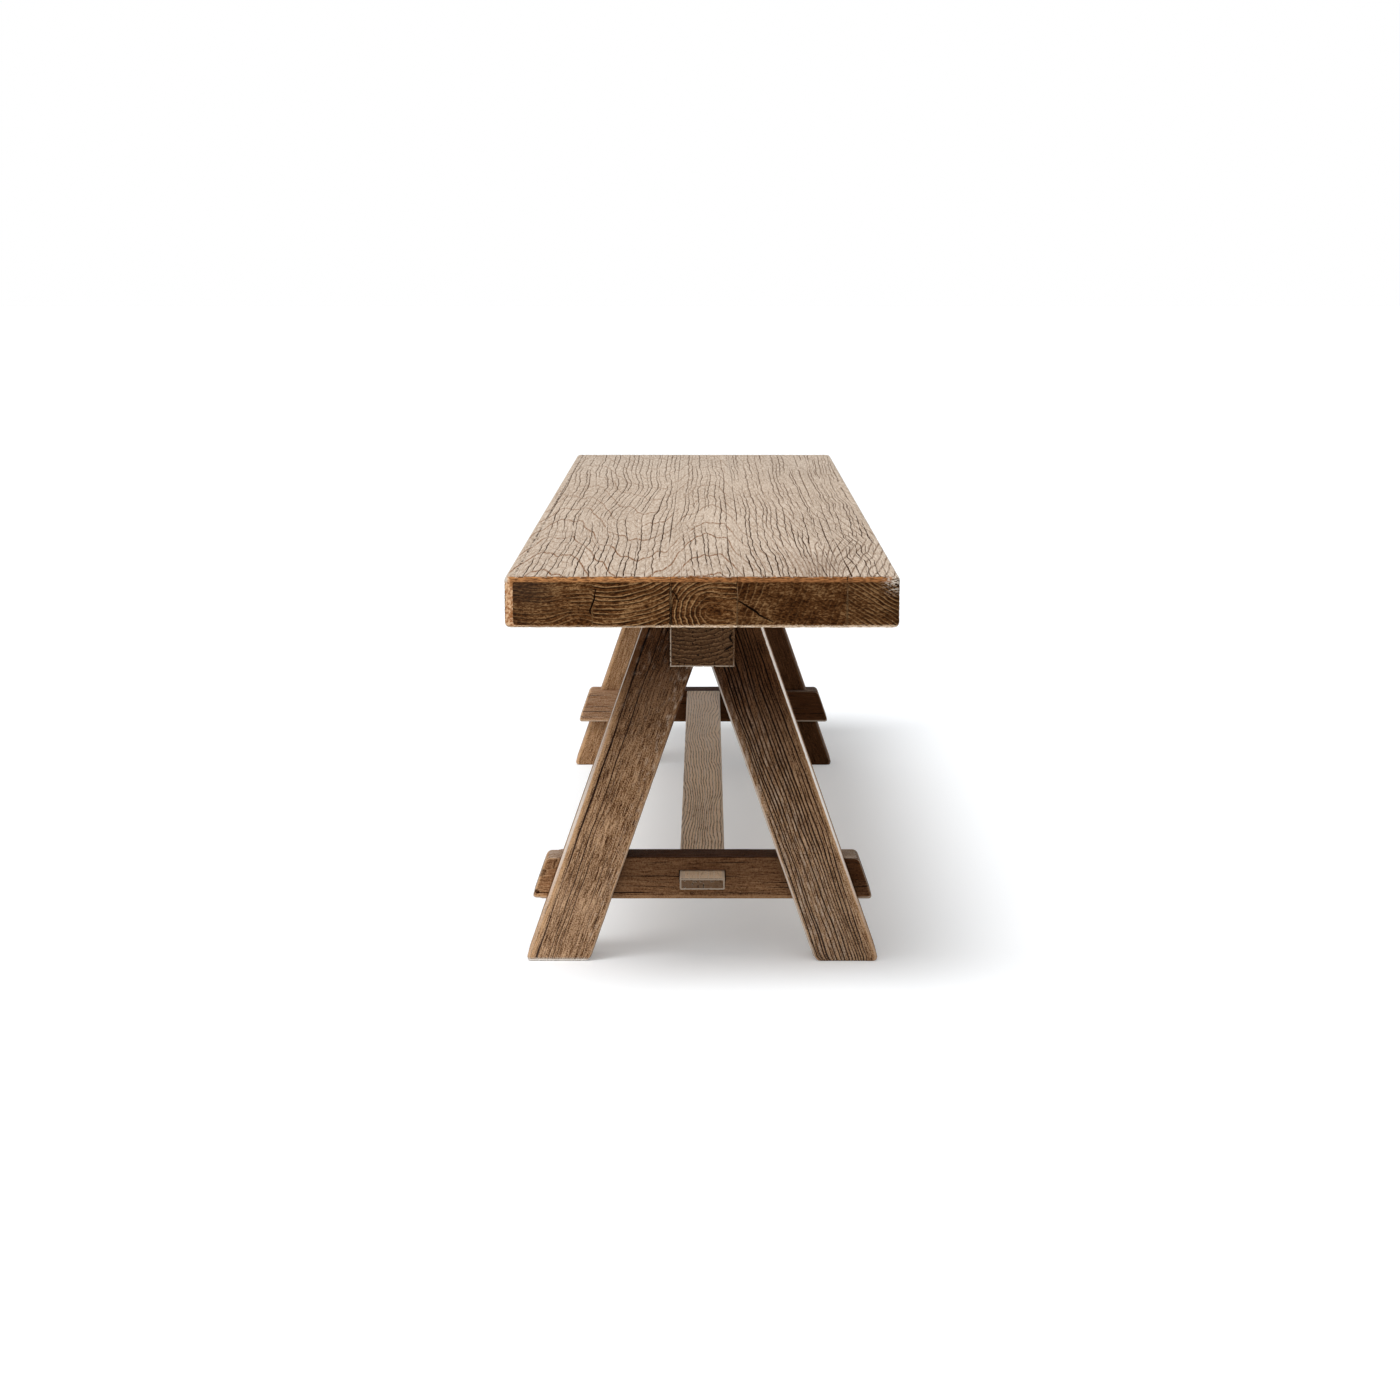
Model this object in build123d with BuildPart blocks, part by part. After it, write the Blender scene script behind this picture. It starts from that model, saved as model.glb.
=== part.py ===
from build123d import *
from math import cos, radians, tan
import os

# Trestle bench in reclaimed timber, in millimetres.
# X runs across the bench, Y along it with the near end at -Y, and Z up from the floor.
# The origin lies on the floor under the middle of the seat.

# Seat: four boards of one thickness, edge to edge
bench_length = 1630
seat_height = 457
seat_thickness = 53
left_board_width = 170
inner_left_board_width = 68
inner_right_board_width = 112
right_board_width = 54
seat_edge_radius = 5
seat_corner_radius = 8
far_right_corner_radius = 13

# Loose tongues in stopped grooves, which hold the boards edge to edge
tongue_width = 26
tongue_thickness = 10
tongue_end_stop = 70
tongue_clearance = 0.2

# Trestle legs, whose heads keep a cheek of wood beside the beam
end_overhang = 205
leg_lean = 19.2
leg_head_cheek = 24.3
leg_width = 68
leg_thickness = 47
leg_edge_radius = 2.5
foot_corner_radius = 7

# Cross rails, lapped with the legs
rail_height = 48
rail_thickness = 43
rail_floor_gap = 68.5
rail_setback = 12
rail_end_overrun = 16
rail_edge_radius = 2
rail_corner_radius = 5
lap_clearance = 0.2
leg_lap_share = 0.5

# Stretcher and its through tenons
stretcher_width = 50
stretcher_edge_radius = 2
tenon_thickness = 13
tenon_drop = 16
tenon_projection = 37
tenon_edge_radius = 1.2
mortise_clearance = 0.6

# Ridge beam under the seat
beam_width = 71
beam_height = 70
beam_end_proud = 10
beam_edge_radius = 2

# Dowels and pegs
head_dowel_diameter = 12
head_dowel_in_beam = 24
head_dowel_in_leg = 20
head_dowel_spacing = 32
lap_dowel_diameter = 10
lap_dowel_depth = 14
lap_dowel_spacing = 24
tenon_peg_diameter = 9
tenon_peg_top_cover = 8
dowel_clearance = 0.1

# Coach screws up through the beam into the seat
screw_count = 6
screw_pitch = 190
screw_diameter = 8
screw_grip_in_seat = 32
screw_point_length = 7
screw_point_diameter = 1.6
screw_head_across_flats = 13
screw_head_height = 5.5
washer_diameter = 22
washer_thickness = 2
screw_well_depth = 30
screw_well_clearance = 1
screw_hole_clearance = 0.5
screw_thread_clearance = 0.1

# Every cut starts and ends this far outside what it cuts
overrun = 5

# Worked out from the sizes above
seat_width = (
    left_board_width + inner_left_board_width + inner_right_board_width + right_board_width
)
seat_underside = seat_height - seat_thickness
seat_middle = seat_underside + seat_thickness / 2
half_length = bench_length / 2
leg_slope = tan(radians(leg_lean))
leg_level_width = leg_width / cos(radians(leg_lean))
leg_face = half_length - end_overhang
foot_reach = beam_width / 2 + leg_head_cheek + leg_slope * seat_underside
rail_top = rail_floor_gap + rail_height
rail_middle = rail_floor_gap + rail_height / 2
rail_face = leg_face - rail_setback
rail_inner_face = rail_face - rail_thickness
lap_overlap = leg_thickness - rail_setback
leg_lap_depth = lap_overlap * leg_lap_share
lap_face = leg_face - leg_thickness + leg_lap_depth
tenon_top = rail_top - tenon_drop
tenon_middle = tenon_top - tenon_thickness / 2
beam_underside = seat_underside - beam_height
head_dowel_y = leg_face - leg_thickness / 2
tenon_peg_y = rail_face - rail_thickness / 2
screw_well_top = beam_underside + screw_well_depth

os.makedirs("parts", exist_ok=True)


def across_plane(y):
    """The plane across the bench at y, drawn with X to the right and Z up."""
    return Plane.XZ.offset(-y)


def leg_points(side, low, high, gap=0):
    """Corners of a leg's slice from one height to another, widened by a gap at both edges."""
    corners = []
    for z, edge_shift in ((low, gap), (low, -leg_level_width - gap),
                          (high, -leg_level_width - gap), (high, gap)):
        corners.append((side * (foot_reach - leg_slope * z + edge_shift), z))
    return corners


def leg_centre(z):
    """Distance of a leg's middle line from the middle of the bench, at one height."""
    return foot_reach - leg_slope * z - leg_level_width / 2


def finish_piece(name, label):
    """Name a piece and write it to its own file."""
    name.part.label = label
    export_step(name.part, f"parts/{label}.step")


# Seat boards, from the left: label, left edge, width
board_layout = []
board_edge = -seat_width / 2
for board_label, board_width in (
    ("seat_board_left", left_board_width),
    ("seat_board_inner_left", inner_left_board_width),
    ("seat_board_inner_right", inner_right_board_width),
    ("seat_board_right", right_board_width),
):
    board_layout.append((board_label, board_edge, board_width))
    board_edge += board_width
joint_places = [left_edge for _, left_edge, _ in board_layout[1:]]

# Screws stand in one row along the middle of the beam
screw_places = [
    (0, (number - (screw_count - 1) / 2) * screw_pitch) for number in range(screw_count)
]


def make_board(label, left_edge, width):
    """A seat board: worn outer edges, grooves for the tongues and pilot holes for screws."""
    right_edge = left_edge + width
    groove_length = bench_length - 2 * tongue_end_stop
    with BuildPart() as board:
        with BuildSketch(Plane.XY.offset(seat_underside)):
            with Locations((left_edge + width / 2, 0)):
                Rectangle(width, bench_length)
        extrude(amount=seat_thickness)
        corners = board.edges().filter_by(Axis.Z).group_by(Axis.X)
        if label == "seat_board_left":
            fillet(corners[0], radius=seat_corner_radius)
        if label == "seat_board_right":
            near_corner, far_corner = corners[-1].sort_by(Axis.Y)
            fillet(near_corner, radius=seat_corner_radius)
            fillet(far_corner, radius=far_right_corner_radius)
        rims = board.faces().filter_by(Axis.Z).edges()
        long_rims = rims.filter_by(Axis.Y)
        worn_rims = rims - long_rims
        if label == "seat_board_left":
            worn_rims += long_rims.group_by(Axis.X)[0]
        if label == "seat_board_right":
            worn_rims += long_rims.group_by(Axis.X)[-1]
        fillet(worn_rims, radius=seat_edge_radius)
        for joint in joint_places:
            if left_edge <= joint <= right_edge:
                with Locations((joint, 0, seat_middle)):
                    Box(
                        tongue_width + 2 * tongue_clearance,
                        groove_length,
                        tongue_thickness,
                        mode=Mode.SUBTRACT,
                    )
        if left_edge < 0 < right_edge:
            with BuildSketch(Plane.XY.offset(seat_underside)):
                with Locations(*screw_places):
                    Circle(screw_diameter / 2 + screw_thread_clearance)
            extrude(amount=screw_grip_in_seat + screw_thread_clearance, mode=Mode.SUBTRACT)
    return board


for board_label, board_edge, board_width in board_layout:
    finish_piece(make_board(board_label, board_edge, board_width), board_label)

# Tongues, shorter than their grooves by the clearance at each end
for joint, tongue_label in zip(
    joint_places, ("seat_tongue_left", "seat_tongue_centre", "seat_tongue_right")
):
    with BuildPart() as tongue:
        with Locations((joint, 0, seat_middle)):
            Box(
                tongue_width,
                bench_length - 2 * tongue_end_stop - 2 * tongue_clearance,
                tongue_thickness,
            )
    finish_piece(tongue, tongue_label)


def make_leg(side, end):
    """A leaning leg: lapped for its rail, cut round the beam and bored for its dowels."""
    with BuildPart() as leg:
        with BuildSketch(across_plane(end * (leg_face - leg_thickness / 2))) as outline:
            with BuildLine():
                Polyline(*leg_points(side, 0, seat_underside), close=True)
            make_face()
            fillet(outline.vertices().group_by(Axis.Y)[0], radius=foot_corner_radius)
        extrude(amount=leg_thickness / 2, both=True)
        rims = leg.faces().filter_by(Axis.Y).edges()
        fillet(rims - rims.group_by(Axis.Z)[-1], radius=leg_edge_radius)
        with BuildSketch(across_plane(end * lap_face)):
            with Locations((side * leg_centre(rail_middle), rail_middle)):
                Rectangle(2 * leg_level_width, rail_height)
        extrude(amount=end * (leg_lap_depth + overrun), mode=Mode.SUBTRACT)
        with Locations((0, end * head_dowel_y, seat_underside - beam_height / 2)):
            Box(beam_width, leg_thickness + 2 * overrun, beam_height, mode=Mode.SUBTRACT)
            with Locations((0, 0, -head_dowel_spacing / 2), (0, 0, head_dowel_spacing / 2)):
                Cylinder(
                    head_dowel_diameter / 2 + dowel_clearance,
                    beam_width + 2 * (head_dowel_in_leg + dowel_clearance),
                    rotation=(0, 90, 0),
                    mode=Mode.SUBTRACT,
                )
        with BuildSketch(across_plane(end * lap_face)):
            with Locations(*lap_dowel_places(side)):
                Circle(lap_dowel_diameter / 2 + dowel_clearance)
        extrude(amount=-end * (lap_dowel_depth + dowel_clearance), mode=Mode.SUBTRACT)
    return leg


def lap_dowel_places(side):
    """The two dowels of a lap stand above each other along the leg."""
    places = []
    for z in (rail_middle - lap_dowel_spacing / 2, rail_middle + lap_dowel_spacing / 2):
        places.append((side * leg_centre(z), z))
    return places


def make_rail(end):
    """A cross rail: ends cut to the legs' lean, two laps, a mortise and a peg hole."""
    with BuildPart() as rail:
        with BuildSketch(across_plane(end * (rail_face - rail_thickness / 2))) as outline:
            with BuildLine():
                left = leg_points(-1, rail_floor_gap, rail_top, rail_end_overrun)
                right = leg_points(1, rail_floor_gap, rail_top, rail_end_overrun)
                Polyline(left[0], right[0], right[3], left[3], close=True)
            make_face()
            fillet(outline.vertices(), radius=rail_corner_radius)
        extrude(amount=rail_thickness / 2, both=True)
        fillet(rail.faces().filter_by(Axis.Y).edges(), radius=rail_edge_radius)
        for side in (-1, 1):
            with BuildSketch(across_plane(end * lap_face)):
                with BuildLine():
                    Polyline(
                        *leg_points(
                            side, rail_floor_gap - overrun, rail_top + overrun, lap_clearance
                        ),
                        close=True,
                    )
                make_face()
            extrude(
                amount=-end * (lap_overlap - leg_lap_depth + overrun), mode=Mode.SUBTRACT
            )
            with BuildSketch(across_plane(end * lap_face)):
                with Locations(*lap_dowel_places(side)):
                    Circle(lap_dowel_diameter / 2 + dowel_clearance)
            extrude(amount=end * (lap_dowel_depth + dowel_clearance), mode=Mode.SUBTRACT)
        with Locations((0, end * tenon_peg_y, tenon_middle)):
            Box(
                stretcher_width + 2 * mortise_clearance,
                rail_thickness + 2 * overrun,
                tenon_thickness + 2 * mortise_clearance,
                mode=Mode.SUBTRACT,
            )
        with BuildSketch(Plane.XY.offset(rail_floor_gap)):
            with Locations((0, end * tenon_peg_y)):
                Circle(tenon_peg_diameter / 2 + dowel_clearance)
        extrude(
            amount=rail_height - tenon_peg_top_cover + dowel_clearance, mode=Mode.SUBTRACT
        )
    return rail


for end, end_name in ((-1, "near"), (1, "far")):
    for side, side_name in ((-1, "left"), (1, "right")):
        finish_piece(make_leg(side, end), f"{end_name}_leg_{side_name}")
    finish_piece(make_rail(end), f"{end_name}_cross_rail")

# Stretcher: shouldered against the rails' inner faces, with a flat tenon through each rail
with BuildPart() as stretcher:
    with Locations((0, 0, rail_middle)):
        Box(stretcher_width, 2 * rail_inner_face, rail_height)
    fillet(stretcher.edges().filter_by(Axis.Y), radius=stretcher_edge_radius)
    with Locations((0, 0, tenon_middle)):
        Box(stretcher_width, 2 * (rail_face + tenon_projection), tenon_thickness)
    fillet(
        stretcher.faces().group_by(Axis.Y)[0].edges()
        + stretcher.faces().group_by(Axis.Y)[-1].edges(),
        radius=tenon_edge_radius,
    )
    with BuildSketch(Plane.XY.offset(tenon_middle)):
        with Locations((0, tenon_peg_y), (0, -tenon_peg_y)):
            Circle(tenon_peg_diameter / 2 + dowel_clearance)
    extrude(amount=tenon_thickness, both=True, mode=Mode.SUBTRACT)
finish_piece(stretcher, "stretcher")

# Ridge beam: carries the seat from trestle to trestle, with its ends just proud of the legs
with BuildPart() as beam:
    with Locations((0, 0, seat_underside - beam_height / 2)):
        Box(beam_width, 2 * (leg_face + beam_end_proud), beam_height)
    fillet(beam.edges() - beam.faces().sort_by(Axis.Z)[-1].edges(), radius=beam_edge_radius)
    for end in (-1, 1):
        for side in (-1, 1):
            with BuildSketch(Plane.YZ.offset(side * beam_width / 2)):
                with Locations((end * head_dowel_y, seat_underside - beam_height / 2)):
                    with Locations((0, -head_dowel_spacing / 2), (0, head_dowel_spacing / 2)):
                        Circle(head_dowel_diameter / 2 + dowel_clearance)
            extrude(
                amount=-side * (head_dowel_in_beam + dowel_clearance), mode=Mode.SUBTRACT
            )
    with BuildSketch(Plane.XY.offset(beam_underside)):
        with Locations(*screw_places):
            Circle(washer_diameter / 2 + screw_well_clearance)
    extrude(amount=screw_well_depth, mode=Mode.SUBTRACT)
    with BuildSketch(Plane.XY.offset(beam_underside)):
        with Locations(*screw_places):
            Circle(screw_diameter / 2 + screw_hole_clearance)
    extrude(amount=beam_height, mode=Mode.SUBTRACT)
finish_piece(beam, "ridge_beam")

# Dowels between the beam and the leg heads
with BuildPart() as head_dowels:
    for end in (-1, 1):
        for side in (-1, 1):
            with BuildSketch(Plane.YZ.offset(side * (beam_width / 2 - head_dowel_in_beam))):
                with Locations((end * head_dowel_y, seat_underside - beam_height / 2)):
                    with Locations((0, -head_dowel_spacing / 2), (0, head_dowel_spacing / 2)):
                        Circle(head_dowel_diameter / 2)
            extrude(amount=side * (head_dowel_in_beam + head_dowel_in_leg))
finish_piece(head_dowels, "leg_head_dowels")

# Dowels across the laps of legs and rails
with BuildPart() as lap_dowels:
    for end in (-1, 1):
        for side in (-1, 1):
            with BuildSketch(across_plane(end * lap_face)):
                with Locations(*lap_dowel_places(side)):
                    Circle(lap_dowel_diameter / 2)
            extrude(amount=lap_dowel_depth, both=True)
finish_piece(lap_dowels, "lap_dowels")

# Pegs up through each rail and its tenon
with BuildPart() as tenon_pegs:
    with BuildSketch(Plane.XY.offset(rail_floor_gap)):
        with Locations((0, tenon_peg_y), (0, -tenon_peg_y)):
            Circle(tenon_peg_diameter / 2)
    extrude(amount=rail_height - tenon_peg_top_cover)
finish_piece(tenon_pegs, "tenon_pegs")

# Coach screws and their washers, sunk in wells in the underside of the beam
with BuildPart() as washers:
    with BuildSketch(Plane.XY.offset(screw_well_top - washer_thickness)):
        with Locations(*screw_places):
            Circle(washer_diameter / 2)
            Circle(screw_diameter / 2 + screw_hole_clearance, mode=Mode.SUBTRACT)
    extrude(amount=washer_thickness)
finish_piece(washers, "seat_screw_washers")

with BuildPart() as screws:
    screw_seat = screw_well_top - washer_thickness
    screw_tip = seat_underside + screw_grip_in_seat
    with BuildSketch(Plane.XY.offset(screw_seat - screw_head_height)):
        with Locations(*screw_places):
            RegularPolygon(screw_head_across_flats / 2, 6, major_radius=False)
    extrude(amount=screw_head_height)
    with BuildSketch(Plane.XY.offset(screw_seat)):
        with Locations(*screw_places):
            Circle(screw_diameter / 2)
    extrude(amount=screw_tip - screw_point_length - screw_seat)
    with Locations(*[(x, y, screw_tip - screw_point_length / 2) for x, y in screw_places]):
        Cone(screw_diameter / 2, screw_point_diameter / 2, screw_point_length)
finish_piece(screws, "seat_screws")
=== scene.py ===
"""Looks of the trestle bench: weathered plank seat, brushed dark frame, floor, light and camera."""

import math

import bpy
import numpy as np
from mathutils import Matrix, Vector


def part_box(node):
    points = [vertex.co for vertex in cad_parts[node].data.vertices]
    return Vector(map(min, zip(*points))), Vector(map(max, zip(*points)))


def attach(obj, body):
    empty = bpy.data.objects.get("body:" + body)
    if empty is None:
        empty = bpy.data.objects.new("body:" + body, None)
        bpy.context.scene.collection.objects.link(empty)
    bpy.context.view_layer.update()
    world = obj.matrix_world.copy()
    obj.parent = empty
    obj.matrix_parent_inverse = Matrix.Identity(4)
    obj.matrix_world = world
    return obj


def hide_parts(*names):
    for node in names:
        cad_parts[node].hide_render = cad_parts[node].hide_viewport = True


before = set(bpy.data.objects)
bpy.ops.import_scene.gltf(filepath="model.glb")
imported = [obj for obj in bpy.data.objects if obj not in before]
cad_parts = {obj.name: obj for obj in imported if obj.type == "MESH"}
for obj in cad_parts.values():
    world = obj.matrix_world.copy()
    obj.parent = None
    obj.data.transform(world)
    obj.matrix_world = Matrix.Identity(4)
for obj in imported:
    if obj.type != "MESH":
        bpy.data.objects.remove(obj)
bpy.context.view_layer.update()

bl_info = {
    "name": "Trestle Bench Looks",
    "version": (1, 0, 0),
    "blender": (4, 5, 0),
    "location": "View3D > Sidebar > Trestle Bench",
    "description": "Cracked plank seat, brushed trestles and a plain studio for the trestle bench",
    "category": "Object",
}

BODY = "root"
MM = 0.001

SEAT_BOARDS = ("seat_board_left", "seat_board_inner_left", "seat_board_inner_right", "seat_board_right")
LEGS = ("near_leg_left", "near_leg_right", "far_leg_left", "far_leg_right")
RAILS = ("near_cross_rail", "far_cross_rail")
HIDDEN_WOOD = ("seat_tongue_left", "seat_tongue_centre", "seat_tongue_right",
               "leg_head_dowels", "lap_dowels", "tenon_pegs")
HIDDEN_STEEL = ("seat_screw_washers", "seat_screws")


def srgb(red, green, blue):
    """Linear colour of an 8-bit screen colour."""
    values = np.array([red, green, blue]) / 255.0
    curve = np.where(values <= 0.04045, values / 12.92, ((values + 0.055) / 1.055) ** 2.4)
    return tuple(float(v) for v in curve)


def node_box(name):
    """Lowest and highest corner of a CAD node as two arrays."""
    low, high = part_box(name)
    return np.array(low), np.array(high)


def length_property(text, detail, default):
    """A length that a user can change."""
    return bpy.props.FloatProperty(name=text, description=detail, default=default, unit="LENGTH",
                                   precision=5)


def colour_property(text, detail, default):
    """A colour that a user can change."""
    return bpy.props.FloatVectorProperty(name=text, description=detail, default=default, size=3,
                                         min=0.0, max=1.0, subtype="COLOR")


class SeatSettings(bpy.types.PropertyGroup):
    """Sizes and colours of the four seat boards."""

    edge_radius: length_property("Edge radius", "Worn arris round the outside of the seat", 5 * MM)
    under_radius: length_property("Under radius", "Worn arris under the seat's ends", 2.5 * MM)
    joint_radius: length_property("Joint arris", "Arris along the joints between boards", 0.25 * MM)
    corner_radius: length_property("Corner radius", "Corners of the seat seen from above", 8 * MM)
    far_right_radius: length_property("Far right corner", "The rounder corner at the far right", 13 * MM)
    fissure_depth: length_property("Fissure depth", "Depth of the lengthwise cracks in the top", 1.5 * MM)
    fissure_width: length_property("Fissure width", "Half the width of a lengthwise crack", 0.46 * MM)
    end_relief: length_property("End relief", "Height of the growth rings on the sawn ends", 0.5 * MM)
    top_colour: colour_property("Top", "Bleached top of the boards", srgb(200, 180, 160))
    top_shade: colour_property("Top shade", "Darker clouds on the top", srgb(176, 155, 135))
    crack_colour: colour_property("Crack", "Bottom of the lengthwise cracks", srgb(56, 36, 22))
    ring_colour: colour_property("Ring line", "Thin growth lines crossing the top", srgb(128, 84, 50))
    end_colour: colour_property("End grain", "Sawn ends of the boards", srgb(88, 54, 27))
    end_light: colour_property("End ridge", "Raised rings on the sawn ends", srgb(184, 143, 98))
    end_dark: colour_property("End hollow", "Hollows between the rings", srgb(42, 21, 9))
    arris_colour: colour_property("Top arris", "Worn arris under the top", srgb(184, 128, 80))
    # painted light: the pale arris under the seat's ends, as if lit from the white floor
    rim_colour: colour_property("Pale arris", "Worn side and bottom arrises", srgb(236, 212, 186))
    flank_colour: colour_property("Flank", "Long sides and underside", srgb(146, 112, 82))


class FrameSettings(bpy.types.PropertyGroup):
    """Sizes and colours of the trestles, stretcher and beam."""

    leg_lean: bpy.props.FloatProperty(name="Leg lean", description="Lean of a leg from upright",
                                      default=math.radians(19.2), unit="ROTATION")
    leg_width: length_property("Leg width", "Width of a leg, square across its grain", 68 * MM)
    leg_arris: length_property("Leg arris", "Rounded edges of a leg", 1.8 * MM)
    foot_corner: length_property("Foot corner", "Rounded lower corners of a leg", 7 * MM)
    lap_share: bpy.props.FloatProperty(name="Lap share", description="Share of the lap cut from the leg",
                                       default=0.5, min=0.1, max=0.9)
    rail_arris: length_property("Rail arris", "Rounded edges of a cross rail", 2 * MM)
    rail_corner: length_property("Rail corner", "Rounded end corners of a cross rail", 5 * MM)
    tenon_reach: length_property("Tenon reach", "Tenon from the rail's inner face to its end", 80 * MM)
    tenon_thickness: length_property("Tenon thickness", "Height of the tenon", 13 * MM)
    tenon_drop: length_property("Tenon drop", "From the stretcher's top to the tenon's top", 16 * MM)
    mortise_gap: length_property("Mortise gap", "Gap round the tenon in the rail's face", 0.9 * MM)
    rib_depth: length_property("Rib depth", "Depth of the brushed grain in a leg", 1.3 * MM)
    leg_light: colour_property("Leg ridge", "Raised grain of the frame", srgb(212, 172, 134))
    leg_colour: colour_property("Frame wood", "Middle tone of the frame", srgb(158, 118, 82))
    leg_dark: colour_property("Leg hollow", "Grooves between the ridges", srgb(70, 40, 20))
    rail_light: colour_property("Rail ridge", "Raised grain of the rails", srgb(200, 158, 118))
    rail_colour: colour_property("Rail wood", "Middle tone of the rails", srgb(160, 116, 80))
    strip_colour: colour_property("Outer strip", "Tan strip along a leg's outer edge", srgb(224, 178, 132))
    rim_colour: colour_property("Frame arris", "Worn arrises of the frame", srgb(226, 208, 188))
    # painted highlight: the near-white line along the legs' arrises
    leg_arris_highlight: colour_property("Leg arris", "Pale arrises of the legs", srgb(255, 248, 240))
    stretcher_light: colour_property("Stretcher ridge", "Raised grain of the stretcher", srgb(252, 236, 218))
    stretcher_colour: colour_property("Stretcher wood", "Middle tone of the stretcher", srgb(253, 226, 194))
    stretcher_dark: colour_property("Stretcher line", "Dark growth lines", srgb(112, 80, 54))
    beam_colour: colour_property("Beam wood", "Middle tone of the ridge beam", srgb(102, 74, 50))
    beam_light: colour_property("Beam ridge", "Raised rings of the beam's end", srgb(160, 126, 92))
    beam_dark: colour_property("Beam hollow", "Pits and hollows of the beam's end", srgb(52, 32, 18))
    dowel_colour: colour_property("Dowel wood", "Plain beech of dowels and tongues", srgb(186, 160, 128))
    steel_colour: colour_property("Steel", "Zinc-plated screws and washers", srgb(190, 190, 192))


class StageSettings(bpy.types.PropertyGroup):
    """Floor, light and camera."""

    floor_size: length_property("Floor", "Half the side of the floor", 30.0)
    floor_colour: colour_property("Floor colour", "Plain pale floor", srgb(235, 238, 241))
    floor_glow: bpy.props.FloatProperty(name="Floor glow", description="White added for the camera only",
                                        default=0.215, min=0.0, max=1.0)
    sky: bpy.props.FloatProperty(name="Room light", description="Strength of the even room light",
                                 default=0.325, min=0.0)
    key: bpy.props.FloatProperty(name="Key light", description="Strength of the soft key light",
                                 default=2.03, min=0.0)
    key_angle: bpy.props.FloatProperty(name="Key softness", description="Angle the key light fills",
                                       default=math.radians(26), unit="ROTATION")
    key_right: bpy.props.FloatProperty(name="Key drift right", description="Shadow's drift for each metre",
                                       default=0.225)
    key_back: bpy.props.FloatProperty(name="Key drift back", description="Shadow's drift for each metre",
                                      default=0.345)
    fill: bpy.props.FloatProperty(name="Front fill", description="Strength of the soft front light",
                                  default=0.8, min=0.0)
    camera_x: length_property("Camera across", "Camera's place across the bench", 0.0042)
    camera_y: length_property("Camera back", "Camera's place along the bench", -3.611)
    camera_z: length_property("Camera height", "Camera's height", 0.794)
    camera_pitch: bpy.props.FloatProperty(name="Camera pitch", description="How far the camera looks down",
                                          default=math.radians(9.427), unit="ROTATION")
    camera_turn: bpy.props.FloatProperty(name="Camera turn", description="Turn of the camera to the left",
                                         default=math.radians(0.129), unit="ROTATION")
    lens: bpy.props.FloatProperty(name="Lens", description="Focal length in mm on a 36 mm sensor",
                                  default=71.16)


# Noise and curves

# large odd numbers that scatter the hash of a lattice point over 32 bits
SCATTER_ACROSS, SCATTER_ALONG, SCATTER_SEED, SCATTER_AGAIN = 374761393, 668265263, 1442695041, 1274126177
WORD = 2 ** 32


def lattice_angle(across, along, seed):
    """Random angle of each lattice point, an integer hash of its two whole numbers and the seed."""
    code = (across * SCATTER_ACROSS + along * SCATTER_ALONG + seed * SCATTER_SEED) & (WORD - 1)
    code = ((code ^ (code >> 13)) * SCATTER_AGAIN) & (WORD - 1)
    code = code ^ (code >> 16)
    return code * (2 * math.pi / WORD)


def noise(across, along, seed):
    """Gradient noise, about -1 to 1: a random slope at each lattice point, blended by 6t^5-15t^4+10t^3."""
    u, v = np.broadcast_arrays(np.asarray(across, float), np.asarray(along, float))
    cell_u = np.floor(u).astype(np.int64)
    cell_v = np.floor(v).astype(np.int64)
    in_u = u - cell_u
    in_v = v - cell_v

    def slope(step_u, step_v):
        angle = lattice_angle(cell_u + step_u, cell_v + step_v, seed)
        return np.cos(angle) * (in_u - step_u) + np.sin(angle) * (in_v - step_v)

    fade_u = in_u ** 3 * (in_u * (6 * in_u - 15) + 10)
    fade_v = in_v ** 3 * (in_v * (6 * in_v - 15) + 10)
    low = slope(0, 0) * (1 - fade_u) + slope(1, 0) * fade_u
    high = slope(0, 1) * (1 - fade_u) + slope(1, 1) * fade_u
    return 1.5 * (low * (1 - fade_v) + high * fade_v)


def layered_noise(across, along, seed, layers=3):
    """Sum of noises, each twice as fine and half as strong as the one before."""
    total = 0.0
    for layer in range(layers):
        total = total + noise(across * 2 ** layer, along * 2 ** layer, seed + 31 * layer) / 2 ** layer
    return total


def roughness(across, along, seed):
    """Noise kept between 0 and 1."""
    return np.clip(0.5 + 0.5 * noise(across, along, seed), 0, 1)


def ramp(value, start, end):
    """Smooth step from 0 at start to 1 at end."""
    t = np.clip((value - start) / (end - start), 0, 1)
    return t * t * (3 - 2 * t)


def bump_at(value, centre, spread):
    """Bell of height 1 at centre, fading over spread on each side."""
    return np.exp(-((value - centre) / spread) ** 2)


def crack_at(x, z, corners, half_width):
    """1 on a crack that runs through the corner points, falling to 0 at half_width, thinner at its ends."""
    depth = np.zeros(np.broadcast(x, z).shape)
    last = len(corners) - 1
    for index in range(last):
        (x0, z0), (x1, z1) = corners[index], corners[index + 1]
        length = (x1 - x0) ** 2 + (z1 - z0) ** 2
        t = np.clip(((x - x0) * (x1 - x0) + (z - z0) * (z1 - z0)) / length, 0, 1)
        gap = np.hypot(x - x0 - t * (x1 - x0), z - z0 - t * (z1 - z0))
        along = (index + t) / last
        width = half_width * (0.35 + 0.65 * np.sin(math.pi * np.clip(along, 0.05, 0.95)))
        depth = np.maximum(depth, np.clip(1 - gap / width, 0, 1))
    return depth


# Bars: a rounded rectangle carried along a length

# the way each face of a section runs (top, right, bottom, left, clockwise) and the way it looks out
TANGENTS = np.array([(1, 0), (0, -1), (-1, 0), (0, 1)], float)
OUTWARDS = np.array([(0, 1), (1, 0), (0, -1), (-1, 0)], float)
ARC_STEPS = 4
PULL_IN = 40 * MM
SMALLEST_STEP = 0.01 * MM
# where the sawn ends lie in the grain chart, clear of the long faces
END_CHART = 2.0


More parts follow.
